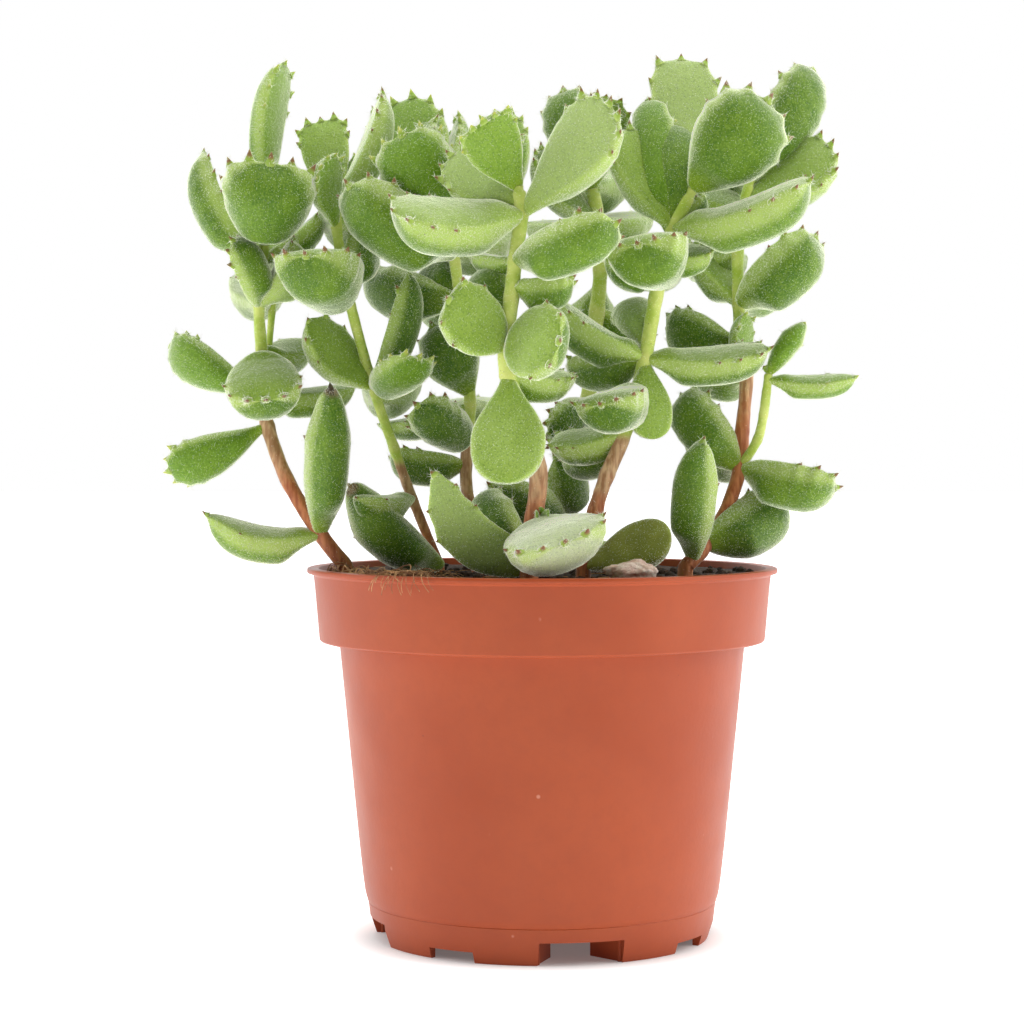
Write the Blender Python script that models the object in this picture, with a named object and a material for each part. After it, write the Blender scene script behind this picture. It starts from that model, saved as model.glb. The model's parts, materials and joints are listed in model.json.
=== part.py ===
"""A bear's paw succulent in its plastic nursery pot: a spun pot with a notched foot, the soil that fills
it, and leafy stems that stand in holes in the soil. Each stem is one body with the plump, clawed leaves
that grow from it. Metres, +Z up, the origin on the ground under the pot's axis, -Y towards the viewer.
"""

import math
from collections import namedtuple

import bmesh
import bpy
from mathutils import Vector, noise

MM = 0.001
GAP = 0.3  # clearance between separate bodies, in millimetres

# The pot, in millimetres
POT_HEIGHT = 94.3
LIP_RADIUS = 60.0
LIP_THICKNESS = 1.3
COLLAR_TOP_RADIUS = 58.3
COLLAR_BOTTOM_RADIUS = 56.9
COLLAR_BOTTOM = 75.6
WALL_TOP_RADIUS = 51.7
WALL_BOTTOM_RADIUS = 45.4
WALL_BOTTOM = 11.5
SEAM_HEIGHT = 9.3
FOOT_TOP_RADIUS = 44.1
FOOT_RADIUS = 42.6
WALL = 1.3
FLOOR_UNDER = 7.4
FLOOR_TOP = 9.0
POT_SEGMENTS = 36

# The foot's notches: four wide ones with walls that lead inwards, four small ones between them
NOTCH_TURN = -77.0  # bearing of the first wide notch, in degrees from +X
WIDE_NOTCH = 21.0
WIDE_NOTCH_HEIGHT = 5.8
SMALL_NOTCH = 12.5
SMALL_NOTCH_HEIGHT = 2.8
SMALL_NOTCH_OFFSET = 46.0  # degrees
CHANNEL_DEPTH = 9.0
CHANNEL_WALL = 1.2
CHANNEL_MOUTH = 10.0

# The soil
SOIL_TOP = 91.8
SOIL_BUMP = 0.8
SOIL_RINGS = 4
SOIL_SEGMENTS = 25
ROOT_DEPTH = 10.0  # how far a stem goes down into the soil

STEM_SIDES = 7

# The lump of perlite: its place in the front view, and its half sizes in millimetres
STONE_PLACE = (632, 569, 41)
STONE_SIZE = (6.0, 3.4, 3.0)

# The front view that the plant is laid out in. A point is given as its column and row in the
# 1024 x 1024 picture and its depth towards the viewer in millimetres, measured from the pot's axis.
AXIS_COLUMN = 542.0
EYE_ROW = 443.0
ROWS_PER_MM = 3.908  # at the depth of the pot's axis
EYE_DISTANCE = 670.0
EYE_HEIGHT = 126.0

# A leaf's outline: where it is widest along its length, how square its end is (0.6 square, 1.3 pointed),
# its stalk's share of its width, its claws on each side, how thick it is beside its width, its sag, how
# round its base is, and how far it bends sideways as a share of its length.
Shape = namedtuple("Shape", "belly end stalk claws plump bow full lean", defaults=(0.0, 0.0))
PAW = Shape(belly=0.62, end=0.70, stalk=0.17, claws=3, plump=0.56, bow=0.05, full=0.3)
WIDE = Shape(belly=0.60, end=0.58, stalk=0.16, claws=3, plump=0.58, bow=0.04, full=0.7)
OVAL = Shape(belly=0.56, end=0.74, stalk=0.15, claws=3, plump=0.52, bow=0.05, full=0.6)
PUFF = Shape(belly=0.60, end=0.52, stalk=0.20, claws=3, plump=0.70, bow=0.0, full=0.8)
BEAN = Shape(belly=0.52, end=0.66, stalk=0.20, claws=3, plump=0.76, bow=0.06, full=0.9)
CRESCENT = Shape(belly=0.5, end=0.8, stalk=0.25, claws=3, plump=0.72, bow=0.11, full=0.8)
BOAT = Shape(belly=0.5, end=0.95, stalk=0.28, claws=1, plump=0.8, bow=0.12, full=0.7)
POD = Shape(belly=0.48, end=0.88, stalk=0.26, claws=1, plump=0.86, bow=0.05, full=0.8)
PADDLE = Shape(belly=0.70, end=0.78, stalk=0.14, claws=3, plump=0.48, bow=0.04, full=0.2)
SQUARE = Shape(belly=0.72, end=0.42, stalk=0.2, claws=3, plump=0.46, bow=0.04, full=0.5)
BLADE = Shape(belly=0.52, end=0.92, stalk=0.2, claws=2, plump=0.62, bow=0.06, full=0.5)
TONGUE = Shape(belly=0.32, end=1.0, stalk=0.55, claws=2, plump=0.42, bow=0.03, full=1.0, lean=-0.14)
ROUND = Shape(belly=0.52, end=0.62, stalk=0.25, claws=2, plump=0.50, bow=0.0, full=0.8)
HIND = Shape(belly=0.58, end=0.8, stalk=0.17, claws=1, plump=0.56, bow=0.05, full=0.4)
SPOON = Shape(belly=0.60, end=0.82, stalk=0.15, claws=1, plump=0.50, bow=0.03, full=0.25)

# A leaf grows from a joint of its stem to its tip, given in the front view. Its face is the way that its
# flatter upper side looks: right, up, and towards the viewer.
Leaf = namedtuple("Leaf", "joint tip toward width face shape")
# A stem's joints run up from the soil, as column, row and depth. Its thickness is in millimetres. A
# branch starts inside its stem.
Branch = namedtuple("Branch", "joints foot_radius top_radius leaves")
Stem = namedtuple("Stem", "joints foot_radius top_radius leaves branch", defaults=(None,))

STEMS = {
    "stem_left": Stem(
        [(346, 567, 8), (320, 534, 9), (287, 480, 8), (267, 425, 6), (264, 395, 4), (262, 357, 3),
         (259, 306, 2), (263, 262, 2), (270, 192, 0)],
        2.0, 1.3,
        [
            Leaf(1, (206, 516), 12, 11.5, (0, 1, 0.25), BOAT),
            Leaf(1, (331, 388), 22, 11, (-0.5, 0, -1), POD),
            Leaf(3, (166, 473), 10, 12, (0, 0.5, -1), PADDLE),
            Leaf(4, (167, 345), -8, 12, (0, 0.4, -1), PADDLE),
            Leaf(4, (354, 388), -12, 9, (0, 1, 0.2), POD),
            Leaf(5, (266, 402), 24, 18, (-0.1, 1, 0.35), PUFF),
            Leaf(5, (308, 342), -14, 10, (0, 1, 0.6), POD),
            Leaf(6, (233, 238), 13, 9.5, (-0.9, 0, -0.35), BEAN),
            Leaf(6, (296, 238), 4, 12, (-1, 0.3, 0.2), BEAN),
            Leaf(7, (202, 152), -6, 12, (1, 0.4, -0.35), CRESCENT),
            Leaf(7.3, (271, 162), 20, 22.5, (0, 0.9, -1), WIDE),
            Leaf(8, (285, 62), 0, 13, (1, 0, 0.35), OVAL),
            Leaf(7, (247, 234), -24, 13, (0, 1, 0.2), HIND),
            Leaf(7, (319, 216), -14, 12, (-0.3, 1, -0.3), HIND),
            Leaf(6, (262, 268), -38, 15, (0, 1, -0.2), HIND),
            Leaf(4.2, (264, 376), -32, 15, (0, 1, -0.2), HIND),
            Leaf(7, (262, 190), -32, 16, (0, 1, 0.2), HIND),
        ],
        Branch([(264, 392, 3), (268, 357, -3), (272, 312, -6), (274, 282, -7)], 0.95, 0.9, []),
    ),
    "stem_left_middle": Stem(
        [(440, 567, -6), (412, 498, -4), (394, 448, -2), (373, 387, 0), (350, 303, 2), (344, 275, 2),
         (337, 228, 1), (338, 205, 0)],
        1.3, 1.4,
        [
            Leaf(0, (350, 486), 8, 12.5, (-0.3, 0.2, -1), POD._replace(lean=0.1)),
            Leaf(1, (356, 499), 15, 8.4, (0, 1, 0.1), POD),
            Leaf(3, (307, 320), 6, 14, (0.5, 0.5, 0.8), BLADE),
            Leaf(3, (421, 357), 18, 12.5, (-0.3, 0.8, -0.7), WIDE),
            Leaf(3, (411, 272), 2, 11, (-1, 0.2, -0.4), BLADE),
            Leaf(4.5, (305, 256), 28, 20, (0, 1, -0.15), PUFF),
            Leaf(4.5, (364, 239), -12, 13, (-0.4, 0.5, -0.8), PAW),
            Leaf(6, (327, 156), 14, 10.5, (0.8, 0, 0.7), PAW),
            Leaf(6, (356, 158), -8, 12, (-0.5, 0, 0.8), PAW),
            Leaf(7, (321, 120), -14, 12.5, (0, 0.1, 1), SQUARE),
            Leaf(7, (385, 93), 3, 14, (-0.7, 0.6, 0.2), PAW),
            Leaf(2.8, (396, 372), -38, 15, (0, 1, 0), HIND),
            Leaf(6, (368, 205), -36, 16, (0, 1, 0), HIND),
        ],
    ),
    "stem_back_left": Stem(
        [(478, 567, -14), (468, 500, -12), (466, 465, -12), (470, 405, -10), (466, 350, -8), (460, 300, -4),
         (455, 262, 2), (450, 225, 2), (440, 190, 0)],
        1.7, 1.3,
        [
            Leaf(2, (387, 458), -15, 10, (0, 0.7, -0.6), BEAN),
            Leaf(2.5, (416, 405), 10, 12, (-0.2, 0.5, -0.9), BEAN),
            Leaf(3, (378, 426), -20, 10.5, (0, 1, 0.1), BLADE),
            Leaf(3.2, (432, 325), -8, 15, (0, 0, -1), BLADE),
            Leaf(5, (366, 283), -26, 14, (0, 0.4, -1), BLADE),
            Leaf(5, (428, 272), -24, 12, (0, 0, -1), PAW),
            Leaf(6.2, (347, 186), 20, 18, (0.3, 0.8, -0.75), BEAN),
            Leaf(7, (401, 134), 18, 18.5, (0, 0.4, -1), WIDE),
            Leaf(8, (394, 104), -18, 18, (-0.2, 0.4, 1), PAW),
            Leaf(8, (440, 121), -16, 10, (1, 0, 0.2), PAW),
            Leaf(8, (457, 120), -20, 10, (-0.8, 0, 0.4), PAW),
            Leaf(8, (430, 178), -40, 18, (0, 1, 0), HIND),
            Leaf(5, (450, 300), -44, 18, (0, 1, 0), HIND),
            Leaf(3, (478, 400), -46, 17, (0, 1, 0), HIND),
            Leaf(6.2, (490, 225), -36, 17, (0, 1, 0), HIND),
            Leaf(0.6, (462, 530), -46, 15, (0, 1, 0), HIND),
        ],
    ),
    "stem_front": Stem(
        [(529, 567, 30), (534, 520, 32), (538, 470, 33), (522, 420, 34), (508, 375, 34), (506, 345, 34),
         (511, 300, 33), (515, 262, 32), (521, 215, 31), (518, 188, 30)],
        2.4, 1.7,
        [
            Leaf(0, (433, 473), 42, 13, (-0.4, 0.3, 1), TONGUE),
            Leaf(0, (482, 495), 10, 14, (0.3, 0.3, -1), BLADE),
            Leaf(0.8, (566, 544), 57, 24, (-0.35, 1, 0), PUFF._replace(plump=0.5)),
            Leaf(4, (505, 483), 50, 18, (0, 0.5, 1), SPOON),
            Leaf(5, (447, 299), 44, 16, (0.3, 0.2, 1), ROUND),
            Leaf(5, (561, 341), 50, 18, (-0.25, 0.25, 1), ROUND),
            Leaf(4, (573, 376), 24, 10.5, (0, 1, 0.3), BEAN),
            Leaf(5, (482, 268), 20, 12, (0.3, 0.2, -1), PAW),
            Leaf(8, (391, 212), 46, 16.5, (0, 1, 0.7), BEAN),
            Leaf(8, (611, 104), 38, 20.5, (-0.6, 0.3, 0.75), PADDLE),
            Leaf(9, (482, 120), 40, 14.5, (0, 0.2, 1), SQUARE),
            Leaf(8.3, (449, 156), 22, 15, (0.2, 0.3, 0.9), PAW),
            Leaf(9, (521, 142), 20, 9, (1, 0, 0.1), PAW),
            Leaf(9, (495, 112), 10, 11, (0, 0, 1), PAW),
            Leaf(7, (618, 224), 46, 13.5, (-0.2, 0.6, -0.8), BEAN),
            Leaf(6.3, (577, 284), 32, 10, (0, 1, -0.3), BEAN),
            Leaf(7, (482, 256), 14, 11, (0, 1, -0.3), PAW),
        ],
    ),
    "stem_right_middle": Stem(
        [(583, 567, 22), (595, 512, 20), (607, 475, 19), (622, 440, 18), (636, 395, 16), (645, 358, 15),
         (655, 300, 14), (664, 262, 14), (673, 230, 14), (692, 190, 14)],
        1.9, 1.8,
        [
            Leaf(9, (768, 101), 20, 22, (0, 0.3, -1), OVAL),
            Leaf(8, (811, 182), 28, 15.5, (-0.2, 1, 0.3), BEAN),
            Leaf(8, (705, 200), 6, 8, (-0.3, 0.6, -0.5), PAW),
            Leaf(8, (678, 124), 2, 12, (-0.3, 0.2, -1), PAW),
            Leaf(8, (628, 128), 6, 17, (0.5, 0.2, 0.8), PAW),
            Leaf(7.8, (647, 99), -2, 11.5, (0.3, 0.2, -1), OVAL),
            Leaf(7.2, (637, 246), 34, 19.5, (0, 1, -0.35), PUFF),
            Leaf(7, (705, 247), 8, 13, (0, 1, 0.3), PAW),
            Leaf(6.6, (607, 266), 6, 12, (0, 1, -0.3), PAW),
            Leaf(5, (553, 301), 10, 13, (0.4, 1, 0.1), BEAN),
            Leaf(5, (771, 350), 18, 12, (0, 1, 0.4), BEAN),
            Leaf(4, (600, 406), 38, 16, (0, 1, -0.35), PUFF),
            Leaf(5, (651, 439), 24, 12, (0.3, 0, 1), SPOON),
            Leaf(3.2, (548, 442), 10, 11, (0, 1, 0.5), BEAN),
            Leaf(3.2, (567, 470), 0, 11, (0, 1, -0.3), BLADE),
            Leaf(5, (567, 369), 2, 12.5, (0, 0.8, -0.5), BLADE),
            Leaf(5.2, (627, 303), -4, 10.5, (0, 0, -1), PAW),
            Leaf(9, (680, 60), -8, 17, (0.1, 0.2, 1), WIDE),
            Leaf(7, (650, 262), -26, 15, (0, 1, 0), HIND),
            Leaf(0, (671, 534), 30, 14, (-0.2, 0.6, 0.8), SPOON),
        ],
    ),
    "stem_right": Stem(
        [(685, 567, 12), (700, 552, 10), (722, 520, 6), (740, 468, 3), (742, 430, 2), (746, 378, 0),
         (741, 345, -1), (738, 305, -2), (737, 255, -3), (742, 212, -4), (750, 180, -5)],
        2.0, 1.4,
        [
            Leaf(7, (817, 236), 4, 15.5, (-0.4, 0.7, -0.75), BEAN),
            Leaf(7, (706, 240), -16, 15, (0.4, 0.4, 0.5), PAW),
            Leaf(5, (745, 312), 8, 7.5, (0.5, 0, 0.5), BLADE),
            Leaf(3, (679, 394), -6, 13, (0.3, 0.5, -0.9), BEAN),
            Leaf(0.6, (702, 441), 20, 11, (0.8, 0, -1), POD),
            Leaf(3, (839, 489), 8, 13, (0, 0.8, -0.55), BEAN),
            Leaf(1.3, (780, 501), -6, 15.5, (-0.3, 0.5, -1), BEAN),
            Leaf(6, (664, 329), -12, 14, (0, 0.5, -1), PAW),
            Leaf(9, (831, 146), -2, 18.5, (-0.6, 0.4, 0.7), PAW),
            Leaf(10, (813, 70), -16, 15, (-0.3, 0.2, -1), OVAL),
            Leaf(9, (705, 190), -14, 12, (0, 1, 0.3), PAW),
            Leaf(8, (700, 255), -40, 17, (0, 1, 0), HIND),
            Leaf(10, (735, 150), -38, 18, (0, 1, 0), HIND),
            Leaf(5, (700, 360), -38, 16, (0, 1, 0), HIND),
            Leaf(3, (702, 430), -34, 15, (0, 1, 0), HIND),
            Leaf(7, (785, 264), -32, 15, (0, 1, 0), HIND),
        ],
        Branch(
            [(741, 466, 3), (757, 440, 7), (763, 415, 9), (766, 392, 10), (768, 374, 10)], 1.25, 1.15,
            [
                Leaf(4, (804, 323), 11, 5.6, (0.5, 0.3, -1), POD),
                Leaf(3.6, (856, 378), 13, 6.8, (0, 1, 0.4), POD),
                Leaf(4, (768, 364), 10, 2.6, (0, 0, 1), POD),
            ],
        ),
    ),
    "stem_back": Stem(
        [(562, 567, -24), (575, 480, -22), (588, 400, -20), (597, 310, -16), (600, 270, -14), (598, 225, -12),
         (592, 190, -12)],
        2.2, 1.8,
        [
            Leaf(6, (562, 90), -12, 14.5, (0.2, 0.3, -0.8), PAW),
            Leaf(6, (606, 96), -6, 13, (0, 0, 1), PAW),
            Leaf(5, (533, 152), -4, 13, (0.5, 0.5, 0.5), PAW),
            Leaf(0.6, (490, 486), -2, 14, (0.3, 0.5, -1), BLADE),
            Leaf(0.6, (556, 455), -10, 13, (-0.8, 0, -0.6), BLADE),
            Leaf(2, (547, 437), -4, 12, (0, 0.5, -1), PAW),
            Leaf(6, (590, 165), -48, 20, (0, 1, 0), HIND),
            Leaf(5, (630, 215), -44, 17, (0, 1, 0), HIND),
            Leaf(5, (545, 225), -46, 18, (0, 1, 0), HIND),
            Leaf(3.5, (585, 338), -56, 16, (0, 1, 0), HIND),
            Leaf(3, (640, 345), -34, 15, (0, 1, 0), HIND),
            Leaf(2, (590, 410), -54, 18, (0, 1, 0), HIND),
            Leaf(0.4, (600, 545), -46, 14, (0, 1, 0), HIND),
            Leaf(1, (540, 500), -50, 16, (0, 1, 0), HIND),
        ],
    ),
}


def seen(column, row, toward):
    """The point, in millimetres, that lies at this place in the front view and at this depth."""
    share = (EYE_DISTANCE - toward) / (EYE_DISTANCE * ROWS_PER_MM)
    return Vector(((column - AXIS_COLUMN) * share, -toward, EYE_HEIGHT - (row - EYE_ROW) * share))


def smooth(share):
    share = min(max(share, 0.0), 1.0)
    return share * share * (3 - 2 * share)


def along(points, place):
    """The point at a whole or part number of joints along a smooth curve through the points."""
    first = min(int(place), len(points) - 2)
    t = place - first
    before = points[max(first - 1, 0)]
    a, b = points[first], points[first + 1]
    after = points[min(first + 2, len(points) - 1)]
    leave, arrive = (b - before) / 2, (after - a) / 2
    return ((2 * t**3 - 3 * t**2 + 1) * a + (t**3 - 2 * t**2 + t) * leave
            + (3 * t**2 - 2 * t**3) * b + (t**3 - t**2) * arrive)


def frame_of(start, end, face):
    """The directions along a leaf, out of its upper side, and across it."""
    along_leaf = (end - start).normalized()
    right, up, toward = face
    look = Vector((right, -toward, up))
    out = (look - look.dot(along_leaf) * along_leaf).normalized()
    return along_leaf, out, along_leaf.cross(out)


def outline(shape, t):
    """A leaf's half width at a share t of its length, beside its greatest half width."""
    if t < shape.belly:
        share = t / shape.belly
        rise = (1 - shape.full) * smooth(share) + shape.full * math.sin(math.pi / 2 * share) ** 0.75
        return shape.stalk + (1 - shape.stalk) * rise
    fall = (t - shape.belly) / (1 - shape.belly)
    return max(1 - fall ** (2.2 / shape.end), 0.0) ** (0.62 * shape.end)


def leaf_rings(shape):
    """The shares of its length at which a leaf has a ring, and how far its margin stands out there."""
    rings = [(0.0, 0.0)]
    if shape.full > 0.75:
        rings.append((0.12, 0.0))
    rings.append((0.33, 0.0))
    if shape.claws == 1:
        return rings + [(0.6, 0.0), (0.86, 1.0)]
    first = max(shape.belly + 0.02, 0.5)
    steps = 2 * shape.claws
    for step in range(steps):
        t = first + (0.97 - first) * (step / (steps - 1)) ** 0.8
        rings.append((t, 0.0 if step % 2 else 1.0))
    return rings if shape.claws > 2 else rings[:-1]


def leaf_mesh(points, leaf, slack=0.0):
    """A plump leaf with a flatter upper side, a keel below and claws along the edge of its end."""
    start = along(points, leaf.joint)
    end = seen(leaf.tip[0], leaf.tip[1], leaf.toward)
    forward, out, across = frame_of(start, end, leaf.face)
    half = leaf.width / 2
    shape = leaf.shape
    claw = 0.7 + 0.03 * leaf.width
    end -= forward * (0.3 * leaf.shape.claws)
    length = (end - start).length
    mesh = bmesh.new()
    loops = []
    rings = leaf_rings(shape)
    for t, claw_share in rings:
        bend = length * 4 * t * (1 - t)
        centre = start + (end - start) * t - out * (shape.bow * bend) + across * (shape.lean * bend)
        wide = max(half * outline(shape, t), 0.5)
        rise = 0.35 + 0.65 * smooth(t / (0.45 - 0.15 * shape.full))
        deep = min(shape.plump * leaf.width * rise, 1.6 * wide + 0.6)
        deep *= 1 - 0.5 * smooth((t - 0.74) / 0.26)
        deep = max(deep, 1.1) + slack
        rim = 0.28 * deep
        reach = wide + slack
        claw_out = 0.55 * claw * claw_share
        claw_on = 0.9 * claw * claw_share
        section = [
            (-reach - claw_out, 0.0, claw_on),
            (-reach * 0.62, -0.42 * deep, 0.0),
            (0.0, -0.70 * deep, 0.0),
            (reach * 0.62, -0.42 * deep, 0.0),
            (reach + claw_out, 0.0, claw_on),
            (0.0, rim, 0.0),
        ]
        loops.append([
            mesh.verts.new(centre + across * side + out * lift + forward * on) for side, lift, on in section
        ])
    tip = mesh.verts.new(end + forward * claw * 0.7)
    for low, high in zip(loops, loops[1:]):
        for corner, vert in enumerate(low):
            beside = (corner + 1) % len(low)
            mesh.faces.new((vert, low[beside], high[beside], high[corner]))
    mesh.faces.new(list(reversed(loops[0])))
    last = loops[-1]
    for corner, vert in enumerate(last):
        mesh.faces.new((vert, last[(corner + 1) % len(last)], tip))
    bmesh.ops.triangulate(mesh, faces=mesh.faces)
    bmesh.ops.recalc_face_normals(mesh, faces=mesh.faces)
    return mesh


def stem_points(stem):
    return [seen(column, row, toward) for column, row, toward in stem.joints]


def stem_mesh(stem, slack=0.0):
    """A round stem that stands upright in the soil and then follows its joints."""
    points = stem_points(stem)
    foot = points[0].copy()
    foot.z = SOIL_TOP - ROOT_DEPTH
    edge = points[0].copy()
    edge.z = SOIL_TOP + 1.0
    line = [(foot, stem.foot_radius), (edge, stem.foot_radius)]
    count = len(points) - 1
    for place in [0.5] + list(range(1, count + 1)):
        share = place / count
        line.append((along(points, place), stem.foot_radius + (stem.top_radius - stem.foot_radius) * share))
    return tube(line, 1, STEM_SIDES, slack)


def branch_mesh(branch, slack=0.0):
    """A thin side stem along its joints."""
    points = stem_points(branch)
    count = len(points) - 1
    line = []
    for place in range(count + 1):
        radius = branch.foot_radius + (branch.top_radius - branch.foot_radius) * place / count
        line.append((along(points, place), radius))
    return tube(line, 0, STEM_SIDES - 1, slack)


def tube(line, upright, sides, slack):
    """A closed tube along places and radii. Its rings up to the number upright lie level."""
    mesh = bmesh.new()
    loops = []
    for number, (point, radius) in enumerate(line):
        before = line[max(number - 1, 0)][0]
        after = line[min(number + 1, len(line) - 1)][0]
        run = (after - before).normalized() if number > upright else Vector((0, 0, 1))
        side = run.cross(Vector((0, 1, 0))).normalized()
        front = side.cross(run)
        loops.append([
            mesh.verts.new(point + (side * math.cos(angle) + front * math.sin(angle)) * (radius + slack))
            for angle in (math.tau * corner / sides for corner in range(sides))
        ])
    for low, high in zip(loops, loops[1:]):
        for corner in range(sides):
            beside = (corner + 1) % sides
            mesh.faces.new((low[corner], low[beside], high[beside], high[corner]))
    mesh.faces.new(loops[0])
    mesh.faces.new(loops[-1])
    bmesh.ops.triangulate(mesh, faces=mesh.faces)
    bmesh.ops.recalc_face_normals(mesh, faces=mesh.faces)
    return mesh


def material(name, colour, roughness):
    made = bpy.data.materials.new(name)
    made.use_nodes = True
    shader = made.node_tree.nodes["Principled BSDF"]
    shader.inputs["Base Color"].default_value = (*colour, 1.0)
    shader.inputs["Roughness"].default_value = roughness
    shader.inputs["Metallic"].default_value = 0.0
    return made


def add_object(name, mesh, made):
    """Turn a mesh in millimetres into a named object in metres."""
    bmesh.ops.scale(mesh, vec=(MM, MM, MM), verts=mesh.verts)
    data = bpy.data.meshes.new(name)
    mesh.to_mesh(data)
    mesh.free()
    data.materials.append(made)
    thing = bpy.data.objects.new(name, data)
    bpy.context.scene.collection.objects.link(thing)
    return thing


def combine(thing, others, operation):
    """Join or cut an object with a list of others in one Boolean, and remove the others."""
    group = bpy.data.collections.new(thing.name + "_parts")
    bpy.context.scene.collection.children.link(group)
    for other in others:
        bpy.context.scene.collection.objects.unlink(other)
        group.objects.link(other)
    step = thing.modifiers.new("Combine", "BOOLEAN")
    step.operand_type = "COLLECTION"
    step.collection = group
    step.operation = operation
    step.solver = "EXACT"
    bpy.context.view_layer.update()
    graph = bpy.context.evaluated_depsgraph_get()
    result = bpy.data.meshes.new_from_object(thing.evaluated_get(graph))
    thing.modifiers.clear()
    before = thing.data
    thing.data = result
    bpy.data.meshes.remove(before)
    for other in others:
        bpy.data.objects.remove(other, do_unlink=True)
    bpy.data.collections.remove(group)


def turned(profile, segments):
    """A solid turned from an outline of radius and height that starts and ends on the axis."""
    mesh = bmesh.new()
    loops = []
    for radius, height in profile:
        if radius == 0:
            loops.append([mesh.verts.new((0, 0, height))])
        else:
            angles = (math.tau * step / segments for step in range(segments))
            loops.append([
                mesh.verts.new((radius * math.cos(angle), radius * math.sin(angle), height)) for angle in angles
            ])
    for low, high in zip(loops, loops[1:]):
        for step in range(segments):
            beside = (step + 1) % segments
            corners = [low[step % len(low)], low[beside % len(low)]]
            corners += [high[beside % len(high)], high[step % len(high)]]
            faces = []
            for corner in corners:
                if corner not in faces:
                    faces.append(corner)
            mesh.faces.new(faces)
    bmesh.ops.recalc_face_normals(mesh, faces=mesh.faces)
    return mesh


def prism(plan, low, high):
    """An upright block on a plan of points that go round anticlockwise."""
    mesh = bmesh.new()
    floor = [mesh.verts.new((x, y, low)) for x, y in plan]
    roof = [mesh.verts.new((x, y, high)) for x, y in plan]
    mesh.faces.new(list(reversed(floor)))
    mesh.faces.new(roof)
    for corner in range(len(plan)):
        beside = (corner + 1) % len(plan)
        mesh.faces.new((floor[corner], floor[beside], roof[beside], roof[corner]))
    bmesh.ops.recalc_face_normals(mesh, faces=mesh.faces)
    return mesh


def turned_plan(points, bearing):
    """Plan points given as outwards and leftwards distances, turned to a bearing in degrees."""
    cos, sin = math.cos(math.radians(bearing)), math.sin(math.radians(bearing))
    return [(out * cos - left * sin, out * sin + left * cos) for out, left in points]


def make_pot():
    terracotta = material("pot_plastic", (0.42, 0.105, 0.055), 0.42)
    inner_top = COLLAR_TOP_RADIUS - WALL
    ring_inside = FOOT_RADIUS - 1.8
    profile = [
        (0, FLOOR_UNDER), (ring_inside, FLOOR_UNDER), (ring_inside, 0), (FOOT_RADIUS - 0.3, 0),
        (FOOT_RADIUS, 0.3), (FOOT_TOP_RADIUS, SEAM_HEIGHT - 3.4), (FOOT_TOP_RADIUS + 0.5, SEAM_HEIGHT),
        (WALL_BOTTOM_RADIUS, WALL_BOTTOM + 0.6),
        (WALL_TOP_RADIUS, COLLAR_BOTTOM - 1.2), (WALL_TOP_RADIUS + 0.2, COLLAR_BOTTOM),
        (COLLAR_BOTTOM_RADIUS - 0.7, COLLAR_BOTTOM), (COLLAR_BOTTOM_RADIUS, COLLAR_BOTTOM + 0.8),
        (COLLAR_TOP_RADIUS, POT_HEIGHT - LIP_THICKNESS - 0.6),
        (LIP_RADIUS - 0.3, POT_HEIGHT - LIP_THICKNESS), (LIP_RADIUS, POT_HEIGHT - LIP_THICKNESS + 0.3),
        (LIP_RADIUS, POT_HEIGHT - 0.3), (LIP_RADIUS - 0.3, POT_HEIGHT), (inner_top + 0.2, POT_HEIGHT),
        (inner_top, POT_HEIGHT - 0.3), (COLLAR_BOTTOM_RADIUS - WALL, COLLAR_BOTTOM + WALL),
        (WALL_TOP_RADIUS - WALL, COLLAR_BOTTOM + WALL - 0.2), (WALL_BOTTOM_RADIUS - WALL, WALL_BOTTOM + 1.4),
        (WALL_BOTTOM_RADIUS - WALL - 1.6, FLOOR_TOP), (0, FLOOR_TOP),
    ]
    pot = add_object("pot", turned(profile, POT_SEGMENTS), terracotta)
    cheeks = []
    cutters = []
    for quarter in range(4):
        bearing = NOTCH_TURN + 90 * quarter
        half = WIDE_NOTCH / 2
        mouth = CHANNEL_MOUTH / 2
        outer = math.sqrt(ring_inside**2 - half**2) + 0.6
        inner = outer - CHANNEL_DEPTH
        for side in (-1, 1):
            plan = [
                (outer, side * (half + CHANNEL_WALL)), (inner, side * (mouth + CHANNEL_WALL)),
                (inner, side * mouth), (outer, side * half),
            ]
            if side < 0:
                plan.reverse()
            wall = prism(turned_plan(plan, bearing), 0.0, FLOOR_UNDER + 0.7)
            cheeks.append(add_object("cheek", wall, terracotta))
        gap = [(outer + 0.1, -half), (FOOT_TOP_RADIUS + 4, -half - 0.4), (FOOT_TOP_RADIUS + 4, half + 0.4)]
        gap.append((outer + 0.1, half))
        cut = prism(turned_plan(gap, bearing), -2.0, WIDE_NOTCH_HEIGHT)
        cutters.append(add_object("wide_notch", cut, terracotta))
        middle = [(outer - 2.6, -half + 1.9), (outer + 1.2, -half + 0.02), (outer + 1.2, half - 0.02)]
        middle.append((outer - 2.6, half - 1.9))
        cut = prism(turned_plan(middle, bearing), -2.0, WIDE_NOTCH_HEIGHT)
        cutters.append(add_object("wide_notch_inside", cut, terracotta))
        small = SMALL_NOTCH / 2
        gap = [(ring_inside - 4, -small), (FOOT_TOP_RADIUS + 4, -small), (FOOT_TOP_RADIUS + 4, small)]
        gap.append((ring_inside - 4, small))
        cut = prism(turned_plan(gap, bearing + SMALL_NOTCH_OFFSET), -2.0, SMALL_NOTCH_HEIGHT)
        cutters.append(add_object("small_notch", cut, terracotta))
    combine(pot, cheeks, "UNION")
    combine(pot, cutters, "DIFFERENCE")
    return pot


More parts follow.
